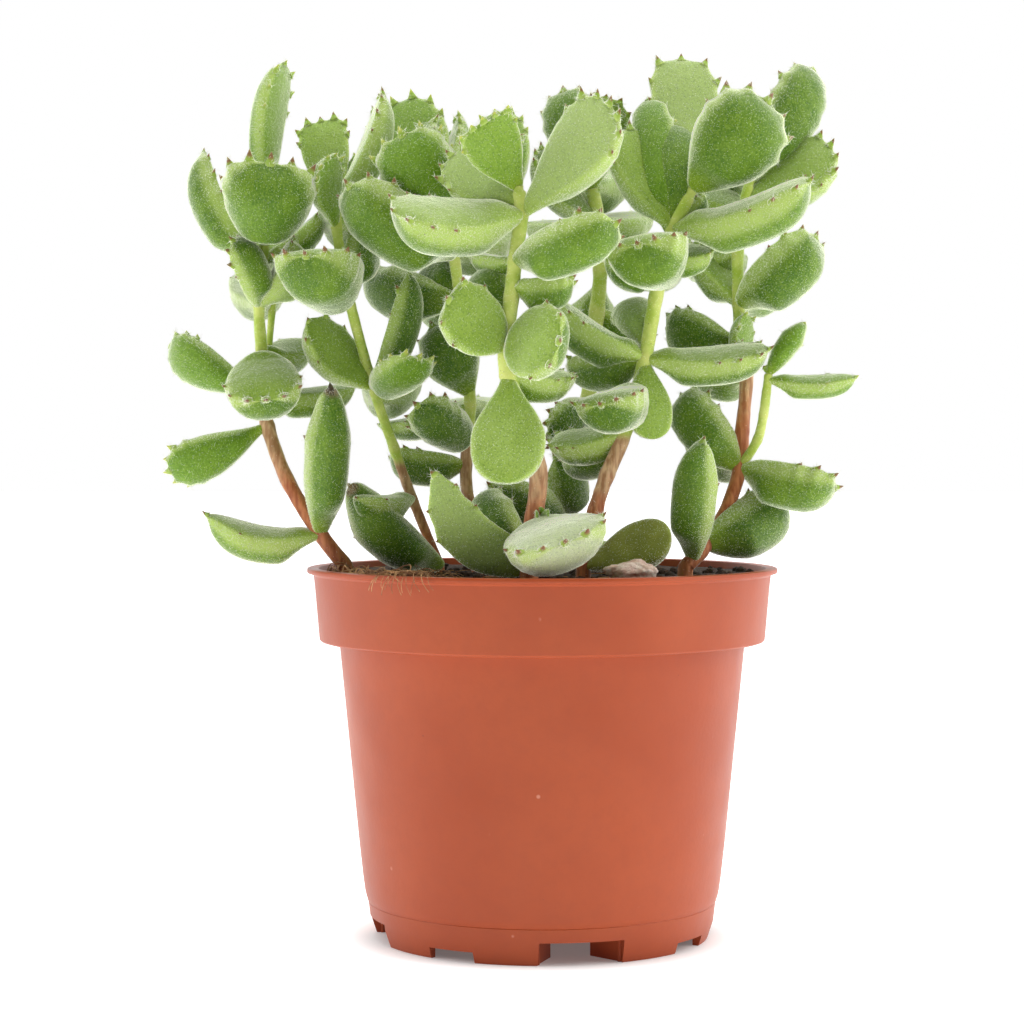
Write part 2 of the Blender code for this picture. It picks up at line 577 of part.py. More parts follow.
def soil_height(x, y):
    """The soil's surface: uneven in the middle and level along its edge."""
    radius = math.hypot(x, y)
    rough = noise.noise(Vector((x * 0.09 + 3.1, y * 0.09 - 1.7, 0.4)))
    return SOIL_TOP + SOIL_BUMP * rough * (1 - smooth((radius - 40) / 14))


def make_soil():
    peat = material("peat", (0.055, 0.032, 0.02), 0.95)
    wall = WALL + GAP
    rings = [COLLAR_TOP_RADIUS - wall - 0.6]
    profile = [
        (0, FLOOR_TOP + GAP), (WALL_BOTTOM_RADIUS - wall - 1.9, FLOOR_TOP + GAP),
        (WALL_BOTTOM_RADIUS - wall - 0.1, WALL_BOTTOM + 1.6), (WALL_TOP_RADIUS - wall - 0.05, COLLAR_BOTTOM + WALL),
        (COLLAR_BOTTOM_RADIUS - wall - 0.1, COLLAR_BOTTOM + WALL + GAP), (rings[0], SOIL_TOP),
    ]
    for ring in range(SOIL_RINGS, 0, -1):
        profile.append((rings[0] * (ring - 0.5) / SOIL_RINGS, SOIL_TOP))
    profile.append((0, SOIL_TOP))
    mesh = turned(profile, SOIL_SEGMENTS)
    for vert in mesh.verts:
        if vert.co.z > SOIL_TOP - 0.01:
            vert.co.z = soil_height(vert.co.x, vert.co.y)
    bmesh.ops.triangulate(mesh, faces=mesh.faces)
    soil = add_object("soil", mesh, peat)
    holes = []
    for name, stem in STEMS.items():
        centre = stem_points(stem)[0]
        radius = stem.foot_radius + GAP + 0.1
        hole = turned([
            (0, SOIL_TOP - ROOT_DEPTH - GAP), (radius, SOIL_TOP - ROOT_DEPTH - GAP), (radius, SOIL_TOP + 6),
            (0, SOIL_TOP + 6),
        ], 12)
        bmesh.ops.translate(hole, vec=(centre.x, centre.y, 0), verts=hole.verts)
        holes.append(add_object(name + "_hole", hole, peat))
    combine(soil, holes, "DIFFERENCE")
    return soil


def make_stone():
    """A pale, rough lump of perlite that lies on the soil by the rim."""
    pale = material("perlite", (0.72, 0.6, 0.54), 0.9)
    mesh = bmesh.new()
    bmesh.ops.create_icosphere(mesh, subdivisions=2, radius=1.0)
    middle = seen(*STONE_PLACE)
    for vert in mesh.verts:
        rough = 1 + 0.28 * noise.noise(vert.co * 1.7 + Vector((4.0, 1.0, 2.0)))
        vert.co = Vector((vert.co.x * STONE_SIZE[0], vert.co.y * STONE_SIZE[1], vert.co.z * STONE_SIZE[2])) * rough
        vert.co += middle
    lowest = min(vert.co.z for vert in mesh.verts)
    top = max(soil_height(vert.co.x, vert.co.y) for vert in mesh.verts)
    for vert in mesh.verts:
        vert.co.z += top + 0.15 - lowest
    return add_object("perlite", mesh, pale)


def make_stem(name, stem, green):
    points = stem_points(stem)
    body = add_object(name, stem_mesh(stem), green)
    grown = [add_object("leaf", leaf_mesh(points, leaf), green) for leaf in stem.leaves]
    if stem.branch:
        grown.append(add_object("branch", branch_mesh(stem.branch), green))
        points = stem_points(stem.branch)
        grown += [add_object("leaf", leaf_mesh(points, leaf), green) for leaf in stem.branch.leaves]
    combine(body, grown, "UNION")
    return body


def main():
    for thing in list(bpy.data.objects):
        bpy.data.objects.remove(thing, do_unlink=True)
    made = [make_pot(), make_soil(), make_stone()]
    green = material("succulent", (0.2, 0.34, 0.07), 0.6)
    for name, stem in STEMS.items():
        made.append(make_stem(name, stem, green))
    # The origin is the middle of the whole thing's bounding box, on the ground
    corners = [vert.co for thing in made for vert in thing.data.vertices]
    middle_x = (min(c.x for c in corners) + max(c.x for c in corners)) / 2
    middle_y = (min(c.y for c in corners) + max(c.y for c in corners)) / 2
    for thing in made:
        for vert in thing.data.vertices:
            vert.co.x -= middle_x
            vert.co.y -= middle_y
        thing.data.update()


if __name__ == "__main__":
    main()
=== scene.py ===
"""The looks of a bear's paw succulent in its plastic nursery pot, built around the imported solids: finer
leaves with their claws and hairs, stems that turn from green to bark, the moulded pot and the peat.
Sizes are in millimetres until a piece is finished, and the pot's axis is the middle of each sum.
"""

import json
import math
from collections import namedtuple

import bmesh
import bpy
import numpy as np
from mathutils import Matrix, Vector, noise

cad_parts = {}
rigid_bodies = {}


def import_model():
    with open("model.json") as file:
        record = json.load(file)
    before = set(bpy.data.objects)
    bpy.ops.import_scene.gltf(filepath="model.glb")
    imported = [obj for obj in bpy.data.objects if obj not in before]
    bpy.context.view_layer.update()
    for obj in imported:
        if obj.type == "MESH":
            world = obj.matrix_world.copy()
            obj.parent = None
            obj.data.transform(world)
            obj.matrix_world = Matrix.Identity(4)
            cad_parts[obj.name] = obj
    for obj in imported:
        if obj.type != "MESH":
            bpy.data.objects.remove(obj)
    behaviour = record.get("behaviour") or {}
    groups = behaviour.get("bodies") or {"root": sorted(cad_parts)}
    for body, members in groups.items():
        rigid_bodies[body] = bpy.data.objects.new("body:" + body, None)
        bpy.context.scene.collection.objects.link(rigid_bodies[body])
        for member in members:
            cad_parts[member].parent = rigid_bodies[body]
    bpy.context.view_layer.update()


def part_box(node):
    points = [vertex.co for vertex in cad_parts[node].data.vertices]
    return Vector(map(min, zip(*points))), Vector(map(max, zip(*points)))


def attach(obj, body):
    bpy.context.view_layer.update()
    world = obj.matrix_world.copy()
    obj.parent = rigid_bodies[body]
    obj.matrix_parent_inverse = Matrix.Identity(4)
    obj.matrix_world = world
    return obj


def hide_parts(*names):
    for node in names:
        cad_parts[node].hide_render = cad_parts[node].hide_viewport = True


MM = 0.001
CAMERA_LENS = 92.04
CAMERA_AIM = (-0.01146, 1.0, -0.02636)

# The pot, in millimetres
POT_HEIGHT = 94.3
LIP_RADIUS = 60.0
LIP_THICKNESS = 1.3
COLLAR_TOP_RADIUS = 58.3
COLLAR_BOTTOM_RADIUS = 56.9
COLLAR_BOTTOM = 75.6
WALL_TOP_RADIUS = 51.7
WALL_BOTTOM_RADIUS = 45.4
WALL_BOTTOM = 11.5
SEAM_HEIGHT = 9.3
FOOT_TOP_RADIUS = 44.1
FOOT_RADIUS = 42.6
WALL = 1.3
FLOOR_UNDER = 7.4
FLOOR_TOP = 9.0
NOTCH_TURN = -77.0
WIDE_NOTCH = 21.0
WIDE_NOTCH_HEIGHT = 5.8
SMALL_NOTCH = 12.5
SMALL_NOTCH_HEIGHT = 2.8
SMALL_NOTCH_OFFSET = 46.0
CHANNEL_DEPTH = 9.0
CHANNEL_WALL = 1.2
CHANNEL_MOUTH = 10.0
SOIL_TOP = 91.8
SOIL_BUMP = 0.8
ROOT_DEPTH = 10.0
STONE_PLACE = (632, 569, 41)
STONE_SIZE = (6.0, 3.4, 3.0)

# The front view that the plant is laid out in: columns and rows of the 1024 x 1024 picture, and depths
# towards the viewer in millimetres, measured from the pot's axis.
AXIS_COLUMN = 542.0
EYE_ROW = 443.0
ROWS_PER_MM = 3.908
EYE_DISTANCE = 670.0
EYE_HEIGHT = 126.0

# A leaf's outline: where it is widest along its length, how square its end is (0.6 square, 1.3 pointed),
# its stalk's share of its width, its claws on each side, how thick it is beside its width, its sag, how
# round its base is, and how far it bends sideways as a share of its length.
Shape = namedtuple("Shape", "belly end stalk claws plump bow full lean", defaults=(0.0, 0.0))
PAW = Shape(belly=0.62, end=0.70, stalk=0.17, claws=3, plump=0.56, bow=0.05, full=0.3)
WIDE = Shape(belly=0.60, end=0.58, stalk=0.16, claws=3, plump=0.58, bow=0.04, full=0.7)
OVAL = Shape(belly=0.56, end=0.74, stalk=0.15, claws=3, plump=0.52, bow=0.05, full=0.6)
PUFF = Shape(belly=0.60, end=0.52, stalk=0.20, claws=3, plump=0.70, bow=0.0, full=0.8)
BEAN = Shape(belly=0.52, end=0.66, stalk=0.20, claws=3, plump=0.76, bow=0.06, full=0.9)
CRESCENT = Shape(belly=0.5, end=0.8, stalk=0.25, claws=3, plump=0.72, bow=0.11, full=0.8)
BOAT = Shape(belly=0.5, end=0.95, stalk=0.28, claws=1, plump=0.8, bow=0.12, full=0.7)
POD = Shape(belly=0.48, end=0.88, stalk=0.26, claws=1, plump=0.86, bow=0.05, full=0.8)
PADDLE = Shape(belly=0.70, end=0.78, stalk=0.14, claws=3, plump=0.48, bow=0.04, full=0.2)
SQUARE = Shape(belly=0.72, end=0.42, stalk=0.2, claws=3, plump=0.46, bow=0.04, full=0.5)
BLADE = Shape(belly=0.52, end=0.92, stalk=0.2, claws=2, plump=0.62, bow=0.06, full=0.5)
TONGUE = Shape(belly=0.32, end=1.0, stalk=0.55, claws=2, plump=0.42, bow=0.03, full=1.0, lean=-0.14)
ROUND = Shape(belly=0.52, end=0.62, stalk=0.25, claws=2, plump=0.50, bow=0.0, full=0.8)
HIND = Shape(belly=0.58, end=0.8, stalk=0.17, claws=1, plump=0.56, bow=0.05, full=0.4)
SPOON = Shape(belly=0.60, end=0.82, stalk=0.15, claws=0, plump=0.50, bow=0.03, full=0.25)

# A leaf grows from a joint of its stem to its tip. Its face is the way that its flatter upper side looks:
# right, up, and towards the viewer. Its skin is one of SKINS.
Leaf = namedtuple("Leaf", "joint tip toward width face shape skin", defaults=("plain",))
Branch = namedtuple("Branch", "joints foot_radius top_radius leaves")
Stem = namedtuple("Stem", "joints foot_radius top_radius leaves branch", defaults=(None,))

SKINS = ("young", "silver", "pale", "dark", "olive", "dried")

STEMS = {
    "stem_left": Stem(
        [(346, 567, 8), (320, 534, 9), (287, 480, 8), (267, 425, 6), (264, 395, 4), (262, 357, 3),
         (259, 306, 2), (263, 262, 2), (270, 192, 0)],
        2.0, 1.3,
        [
            Leaf(1, (206, 516), 12, 11.5, (0, 1, 0.25), BOAT),
            Leaf(1, (331, 388), 22, 11, (-0.5, 0, -1), POD, "dried"),
            Leaf(3, (166, 473), 10, 12, (0, 0.5, -1), PADDLE, "young"),
            Leaf(4, (167, 345), -8, 12, (0, 0.4, -1), PADDLE, "young"),
            Leaf(4, (354, 388), -12, 9, (0, 1, 0.2), POD),
            Leaf(5, (266, 402), 24, 18, (-0.1, 1, 0.35), PUFF),
            Leaf(5, (308, 342), -14, 10, (0, 1, 0.6), POD),
            Leaf(6, (233, 238), 13, 9.5, (-0.9, 0, -0.35), BEAN),
            Leaf(6, (296, 238), 4, 12, (-1, 0.3, 0.2), BEAN, "silver"),
            Leaf(7, (202, 152), -6, 12, (1, 0.4, -0.35), CRESCENT),
            Leaf(7.3, (271, 162), 20, 22.5, (0, 0.9, -1), WIDE),
            Leaf(8, (285, 62), 0, 13, (1, 0, 0.35), OVAL, "young"),
            Leaf(7, (247, 234), -24, 13, (0, 1, 0.2), HIND),
            Leaf(7, (319, 216), -14, 12, (-0.3, 1, -0.3), HIND),
            Leaf(6, (262, 268), -38, 15, (0, 1, -0.2), HIND),
            Leaf(4.2, (264, 376), -32, 15, (0, 1, -0.2), HIND),
            Leaf(7, (262, 190), -32, 16, (0, 1, 0.2), HIND),
        ],
        Branch([(264, 392, 3), (268, 357, -3), (272, 312, -6), (274, 282, -7)], 0.95, 0.9, []),
    ),
    "stem_left_middle": Stem(
        [(440, 567, -6), (412, 498, -4), (394, 448, -2), (373, 387, 0), (350, 303, 2), (344, 275, 2),
         (337, 228, 1), (338, 205, 0)],
        1.3, 1.4,
        [
            Leaf(0, (350, 486), 8, 12.5, (-0.3, 0.2, -1), POD._replace(lean=0.1), "dried"),
            Leaf(1, (356, 499), 15, 8.4, (0, 1, 0.1), POD),
            Leaf(3, (307, 320), 6, 14, (0.5, 0.5, 0.8), BLADE),
            Leaf(3, (421, 357), 18, 12.5, (-0.3, 0.8, -0.7), WIDE, "young"),
            Leaf(3, (411, 272), 2, 11, (-1, 0.2, -0.4), BLADE, "dark"),
            Leaf(4.5, (305, 256), 28, 20, (0, 1, -0.15), PUFF),
            Leaf(4.5, (364, 239), -12, 13, (-0.4, 0.5, -0.8), PAW, "dark"),
            Leaf(6, (327, 156), 14, 10.5, (0.8, 0, 0.7), PAW, "young"),
            Leaf(6, (356, 158), -8, 12, (-0.5, 0, 0.8), PAW, "young"),
            Leaf(7, (321, 120), -14, 12.5, (0, 0.1, 1), SQUARE),
            Leaf(7, (385, 93), 3, 14, (-0.7, 0.6, 0.2), PAW, "silver"),
            Leaf(2.8, (396, 372), -38, 15, (0, 1, 0), HIND),
            Leaf(6, (368, 205), -36, 16, (0, 1, 0), HIND),
        ],
    ),
    "stem_back_left": Stem(
        [(478, 567, -14), (468, 500, -12), (466, 465, -12), (470, 405, -10), (466, 350, -8), (460, 300, -4),
         (455, 262, 2), (450, 225, 2), (440, 190, 0)],
        1.7, 1.3,
        [
            Leaf(2, (387, 458), -15, 10, (0, 0.7, -0.6), BEAN, "dark"),
            Leaf(2.5, (416, 405), 10, 12, (-0.2, 0.5, -0.9), BEAN, "dark"),
            Leaf(3, (378, 426), -20, 10.5, (0, 1, 0.1), BLADE, "dark"),
            Leaf(3.2, (432, 325), -8, 15, (0, 0, -1), BLADE, "dark"),
            Leaf(5, (366, 283), -26, 14, (0, 0.4, -1), BLADE, "dark"),
            Leaf(5, (428, 272), -24, 12, (0, 0, -1), PAW, "dark"),
            Leaf(6.2, (347, 186), 20, 18, (0.3, 0.8, -0.75), BEAN),
            Leaf(7, (401, 134), 18, 18.5, (0, 0.4, -1), WIDE, "young"),
            Leaf(8, (394, 104), -18, 18, (-0.2, 0.4, 1), PAW, "young"),
            Leaf(8, (440, 121), -16, 10, (1, 0, 0.2), PAW),
            Leaf(8, (457, 120), -20, 10, (-0.8, 0, 0.4), PAW, "young"),
            Leaf(8, (430, 178), -40, 18, (0, 1, 0), HIND),
            Leaf(5, (450, 300), -44, 18, (0, 1, 0), HIND),
            Leaf(3, (478, 400), -46, 17, (0, 1, 0), HIND),
            Leaf(6.2, (490, 225), -36, 17, (0, 1, 0), HIND),
            Leaf(0.6, (462, 530), -46, 15, (0, 1, 0), HIND),
        ],
    ),
    "stem_front": Stem(
        [(529, 567, 30), (534, 520, 32), (538, 470, 33), (522, 420, 34), (508, 375, 34), (506, 345, 34),
         (511, 300, 33), (515, 262, 32), (521, 215, 31), (518, 188, 30)],
        2.4, 1.7,
        [
            Leaf(0, (433, 473), 42, 13, (-0.4, 0.3, 1), TONGUE, "silver"),
            Leaf(0, (482, 495), 10, 14, (0.3, 0.3, -1), BLADE, "dark"),
            Leaf(0.8, (566, 544), 57, 24, (-0.35, 1, 0), PUFF._replace(plump=0.5), "pale"),
            Leaf(4, (505, 483), 50, 18, (0, 0.5, 1), SPOON),
            Leaf(5, (447, 299), 44, 16, (0.3, 0.2, 1), ROUND),
            Leaf(5, (561, 341), 50, 18, (-0.25, 0.25, 1), ROUND),
            Leaf(4, (573, 376), 24, 10.5, (0, 1, 0.3), BEAN),
            Leaf(5, (482, 268), 20, 12, (0.3, 0.2, -1), PAW),
            Leaf(8, (391, 212), 46, 16.5, (0, 1, 0.7), BEAN),
            Leaf(8, (611, 104), 38, 20.5, (-0.6, 0.3, 0.75), PADDLE, "silver"),
            Leaf(9, (482, 120), 40, 14.5, (0, 0.2, 1), SQUARE, "young"),
            Leaf(8.3, (449, 156), 22, 15, (0.2, 0.3, 0.9), PAW, "silver"),
            Leaf(9, (521, 142), 20, 9, (1, 0, 0.1), PAW),
            Leaf(9, (495, 112), 10, 11, (0, 0, 1), PAW, "young"),
            Leaf(7, (618, 224), 46, 13.5, (-0.2, 0.6, -0.8), BEAN),
            Leaf(6.3, (577, 284), 32, 10, (0, 1, -0.3), BEAN),
            Leaf(7, (482, 256), 14, 11, (0, 1, -0.3), PAW),
        ],
    ),
    "stem_right_middle": Stem(
        [(583, 567, 22), (595, 512, 20), (607, 475, 19), (622, 440, 18), (636, 395, 16), (645, 358, 15),
         (655, 300, 14), (664, 262, 14), (673, 230, 14), (692, 190, 14)],
        1.9, 1.8,
        [
            Leaf(9, (768, 101), 20, 22, (0, 0.3, -1), OVAL),
            Leaf(8, (811, 182), 28, 15.5, (-0.2, 1, 0.3), BEAN),
            Leaf(8, (705, 200), 6, 8, (-0.3, 0.6, -0.5), PAW, "dark"),
            Leaf(8, (678, 124), 2, 12, (-0.3, 0.2, -1), PAW),
            Leaf(8, (628, 128), 6, 17, (0.5, 0.2, 0.8), PAW),
            Leaf(7.8, (647, 99), -2, 11.5, (0.3, 0.2, -1), OVAL, "young"),
            Leaf(7.2, (637, 246), 34, 19.5, (0, 1, -0.35), PUFF),
            Leaf(7, (705, 247), 8, 13, (0, 1, 0.3), PAW, "young"),
            Leaf(6.6, (607, 266), 6, 12, (0, 1, -0.3), PAW),
            Leaf(5, (553, 301), 10, 13, (0.4, 1, 0.1), BEAN, "dark"),
            Leaf(5, (771, 350), 18, 12, (0, 1, 0.4), BEAN),
            Leaf(4, (600, 406), 38, 16, (0, 1, -0.35), PUFF),
            Leaf(5, (651, 439), 24, 12, (0.3, 0, 1), SPOON),
            Leaf(3.2, (548, 442), 10, 11, (0, 1, 0.5), BEAN),
            Leaf(3.2, (567, 470), 0, 11, (0, 1, -0.3), BLADE, "dark"),
            Leaf(5, (567, 369), 2, 12.5, (0, 0.8, -0.5), BLADE, "dark"),
            Leaf(5.2, (627, 303), -4, 10.5, (0, 0, -1), PAW, "silver"),
            Leaf(9, (680, 60), -8, 17, (0.1, 0.2, 1), WIDE, "silver"),
            Leaf(7, (650, 262), -26, 15, (0, 1, 0), HIND),
            Leaf(0, (671, 534), 30, 14, (-0.2, 0.6, 0.8), SPOON, "olive"),
        ],
    ),
    "stem_right": Stem(
        [(685, 567, 12), (700, 552, 10), (722, 520, 6), (740, 468, 3), (742, 430, 2), (746, 378, 0),
         (741, 345, -1), (738, 305, -2), (737, 255, -3), (742, 212, -4), (750, 180, -5)],
        2.0, 1.4,
        [
            Leaf(7, (817, 236), 4, 15.5, (-0.4, 0.7, -0.75), BEAN),
            Leaf(7, (706, 240), -16, 15, (0.4, 0.4, 0.5), PAW),
            Leaf(5, (745, 312), 8, 7.5, (0.5, 0, 0.5), BLADE, "young"),
            Leaf(3, (679, 394), -6, 13, (0.3, 0.5, -0.9), BEAN),
            Leaf(0.6, (702, 441), 20, 11, (0.8, 0, -1), POD),
            Leaf(3, (839, 489), 8, 13, (0, 0.8, -0.55), BEAN),
            Leaf(1.3, (780, 501), -6, 15.5, (-0.3, 0.5, -1), BEAN, "dark"),
            Leaf(6, (664, 329), -12, 14, (0, 0.5, -1), PAW, "dark"),
            Leaf(9, (831, 146), -2, 18.5, (-0.6, 0.4, 0.7), PAW),
            Leaf(10, (813, 70), -16, 15, (-0.3, 0.2, -1), OVAL),
            Leaf(9, (705, 190), -14, 12, (0, 1, 0.3), PAW, "dark"),
            Leaf(8, (700, 255), -40, 17, (0, 1, 0), HIND),
            Leaf(10, (735, 150), -38, 18, (0, 1, 0), HIND),
            Leaf(5, (700, 360), -38, 16, (0, 1, 0), HIND),
            Leaf(3, (702, 430), -34, 15, (0, 1, 0), HIND),
            Leaf(7, (785, 264), -32, 15, (0, 1, 0), HIND),
        ],
        Branch(
            [(741, 466, 3), (757, 440, 7), (763, 415, 9), (766, 392, 10), (768, 374, 10)], 1.25, 1.15,
            [
                Leaf(4, (804, 323), 11, 5.6, (0.5, 0.3, -1), POD, "young"),
                Leaf(3.6, (856, 378), 13, 6.8, (0, 1, 0.4), POD, "young"),
                Leaf(4, (768, 364), 10, 2.6, (0, 0, 1), POD),
            ],
        ),
    ),
    "stem_back": Stem(
        [(562, 567, -24), (575, 480, -22), (588, 400, -20), (597, 310, -16), (600, 270, -14), (598, 225, -12),
         (592, 190, -12)],
        2.2, 1.8,
        [
            Leaf(6, (562, 90), -12, 14.5, (0.2, 0.3, -0.8), PAW),
            Leaf(6, (606, 96), -6, 13, (0, 0, 1), PAW),
            Leaf(5, (533, 152), -4, 13, (0.5, 0.5, 0.5), PAW, "dark"),
            Leaf(0.6, (490, 486), -2, 14, (0.3, 0.5, -1), BLADE, "dark"),
            Leaf(0.6, (556, 455), -10, 13, (-0.8, 0, -0.6), BLADE, "dark"),
            Leaf(2, (547, 437), -4, 12, (0, 0.5, -1), PAW, "dark"),
            Leaf(6, (590, 165), -48, 20, (0, 1, 0), HIND),
            Leaf(5, (630, 215), -44, 17, (0, 1, 0), HIND),
            Leaf(5, (545, 225), -46, 18, (0, 1, 0), HIND),
            Leaf(3.5, (585, 338), -56, 16, (0, 1, 0), HIND),
            Leaf(3, (640, 345), -34, 15, (0, 1, 0), HIND),
            Leaf(2, (590, 410), -54, 18, (0, 1, 0), HIND),
            Leaf(0.4, (600, 545), -46, 14, (0, 1, 0), HIND),
            Leaf(1, (540, 500), -50, 16, (0, 1, 0), HIND),
        ],
    ),
}


# The row at which each stem's green skin gives way to bark
BARK_ROW = {
    "stem_left": 412,
    "stem_left_middle": 462,
    "stem_back_left": 440,
    "stem_front": 440,
    "stem_right_middle": 436,
    "stem_right": 345,
    "stem_back": 470,
}

# Small fresh leaves at the foot of a stem
SHOOTS = {
    "stem_front": [
        Leaf(0.95, (549, 512), 38, 2.6, (0, 0.4, 1), PADDLE._replace(claws=0), "young"),
        Leaf(0.95, (536, 513), 38, 2.4, (0, 0.4, 1), PADDLE._replace(claws=0), "young"),
        Leaf(0.95, (543, 508), 35, 2.2, (0, 0.2, 1), PADDLE._replace(claws=0), "young"),
    ],
}

LEAF_SIDES = 20
LEAF_RINGS = 38
STEM_SIDES = 14
HAIRS = 318000
AIR_LIGHT = 0.13
BACK_LIGHT = 1.6
SHEEN = (2.3, 2.4, 1.95)


class Shade:
    """A socket of a material's node tree. Sums written with it become Math nodes."""

    def __init__(self, tree, socket):
        self.tree = tree
        self.socket = socket

    def sum_with(self, operation, first, second, third=None, clamp=False):
        node = self.tree.nodes.new("ShaderNodeMath")
        node.operation = operation
        node.use_clamp = clamp
        for place, value in enumerate((first, second, third)):
            if isinstance(value, Shade):
                self.tree.links.new(value.socket, node.inputs[place])
            elif value is not None:
                node.inputs[place].default_value = value
        return Shade(self.tree, node.outputs[0])

    def __add__(self, other):
        return self.sum_with("ADD", self, other)

    def __radd__(self, other):
        return self.sum_with("ADD", other, self)

    def __sub__(self, other):
        return self.sum_with("SUBTRACT", self, other)

    def __rsub__(self, other):
        return self.sum_with("SUBTRACT", other, self)

    def __mul__(self, other):
        return self.sum_with("MULTIPLY", self, other)

    def __rmul__(self, other):
        return self.sum_with("MULTIPLY", other, self)

    def __truediv__(self, other):
        return self.sum_with("DIVIDE", self, other)

    def __pow__(self, other):
        return self.sum_with("POWER", self, other)

    def clipped(self):
        return self.sum_with("ADD", self, 0.0, clamp=True)

    def ramp(self, low, high):
        """0 at low, 1 at high, with a smooth passage between them."""
        node = self.tree.nodes.new("ShaderNodeMapRange")
        node.interpolation_type = "SMOOTHSTEP"
        self.tree.links.new(self.socket, node.inputs["Value"])
        node.inputs["From Min"].default_value = low
        node.inputs["From Max"].default_value = high
        return Shade(self.tree, node.outputs["Result"])


class Finish:
    """A material under construction: a Principled shader, and the nodes that feed it."""

    def __init__(self, name, **sockets):
        self.material = bpy.data.materials.new(name)
        self.material.use_nodes = True
        self.tree = self.material.node_tree
        self.shader = self.tree.nodes["Principled BSDF"]
        for socket, value in sockets.items():
            self.shader.inputs[socket.replace("_", " ")].default_value = value
        self.place = self.node("ShaderNodeTexCoord", {}, {}, "Object")

    def node(self, kind, settings, values, output=0):
        node = self.tree.nodes.new(kind)
        for setting, value in settings.items():
            setattr(node, setting, value)
        for socket, value in values.items():
            if isinstance(value, Shade):
                self.tree.links.new(value.socket, node.inputs[socket])
            else:
                node.inputs[socket].default_value = value
        return Shade(self.tree, node.outputs[output])

    def attribute(self, name):
        return self.node("ShaderNodeAttribute", {"attribute_name": name}, {}, "Fac")

    def noise(self, scale, detail=2.0, roughness=0.5, output="Fac"):
        values = {"Vector": self.place, "Scale": scale, "Detail": detail, "Roughness": roughness}
        return self.node("ShaderNodeTexNoise", {}, values, output)

    def cells(self, scale, output="Distance", feature="F1"):
        values = {"Vector": self.place, "Scale": scale}
        return self.node("ShaderNodeTexVoronoi", {"feature": feature}, values, output)

    def height(self):
        split = self.node("ShaderNodeSeparateXYZ", {}, {"Vector": self.place}, "Z")
        return split

    def mix(self, share, first, second):
        values = {0: share}
        for socket, value in ((6, first), (7, second)):
            values[socket] = value if isinstance(value, Shade) else (*value, 1.0)
        return self.node("ShaderNodeMix", {"data_type": "RGBA"}, values, 2)

    def feed(self, socket, value):
        self.tree.links.new(value.socket, self.shader.inputs[socket])

    def bump(self, height, strength, distance, before=None):
        values = {"Height": height, "Strength": strength, "Distance": distance}
        if before is not None:
            values["Normal"] = before
        return self.node("ShaderNodeBump", {}, values, "Normal")


def srgb(red, green, blue):
    """A screen colour out of 255 as the renderer's linear colour."""
    def linear(part):
        part /= 255
        return part / 12.92 if part <= 0.04045 else ((part + 0.055) / 1.055) ** 2.4
    return linear(red), linear(green), linear(blue)


def seen(column, row, toward):
    """The point, in millimetres, that lies at this place in the front view and at this depth."""
    share = (EYE_DISTANCE - toward) / (EYE_DISTANCE * ROWS_PER_MM)
    return Vector(((column - AXIS_COLUMN) * share, -toward, EYE_HEIGHT - (row - EYE_ROW) * share))


def smooth(share):
    share = min(max(share, 0.0), 1.0)
    return share * share * (3 - 2 * share)


def eased(shares):
    shares = np.clip(shares, 0.0, 1.0)
    return shares * shares * (3 - 2 * shares)


def along(points, place):
    """The point at a whole or part number of joints along a smooth curve through the points."""
    first = min(int(place), len(points) - 2)
    t = place - first
    before = points[max(first - 1, 0)]
    a, b = points[first], points[first + 1]
    after = points[min(first + 2, len(points) - 1)]
    leave, arrive = (b - before) / 2, (after - a) / 2
    return ((2 * t**3 - 3 * t**2 + 1) * a + (t**3 - 2 * t**2 + t) * leave
            + (3 * t**2 - 2 * t**3) * b + (t**3 - t**2) * arrive)


def frame_of(start, end, face):
    """The directions along a leaf, out of its upper side, and across it."""
    along_leaf = (end - start).normalized()
    right, up, toward = face
    look = Vector((right, -toward, up))
    out = (look - look.dot(along_leaf) * along_leaf).normalized()
    return along_leaf, out, along_leaf.cross(out)


def tube_blank(sides, rings):
    """A closed tube of unit radius from z = 0 to 1, as the blank that leaves and stems are pressed from."""
    mesh = bmesh.new()
    bmesh.ops.create_cone(mesh, cap_ends=True, cap_tris=True, segments=sides, radius1=1, radius2=1, depth=1)
    upright = [e for e in mesh.edges if abs(e.verts[0].co.z - e.verts[1].co.z) > 0.5]
    bmesh.ops.subdivide_edges(mesh, edges=upright, cuts=rings - 1, use_grid_fill=True)
    bmesh.ops.translate(mesh, verts=mesh.verts, vec=(0, 0, 0.5))
    bmesh.ops.recalc_face_normals(mesh, faces=mesh.faces)
    mesh.verts.index_update()
    places = np.array([v.co[:] for v in mesh.verts])
    faces = [[v.index for v in f.verts] for f in mesh.faces]
    mesh.free()
    return places, faces


def outline(shape, t):
    """A leaf's half width at shares t of its length, beside its greatest half width."""
    share = np.clip(t / shape.belly, 0.0, 1.0)
    rise = (1 - shape.full) * eased(share) + shape.full * np.sin(math.pi / 2 * share) ** 0.75
    fall = np.clip((t - shape.belly) / (1 - shape.belly), 0.0, 1.0)
    end = np.clip(1 - fall ** (2.2 / shape.end), 0.0, 1.0) ** (0.62 * shape.end)
    return np.where(t < shape.belly, shape.stalk + (1 - shape.stalk) * rise, end)


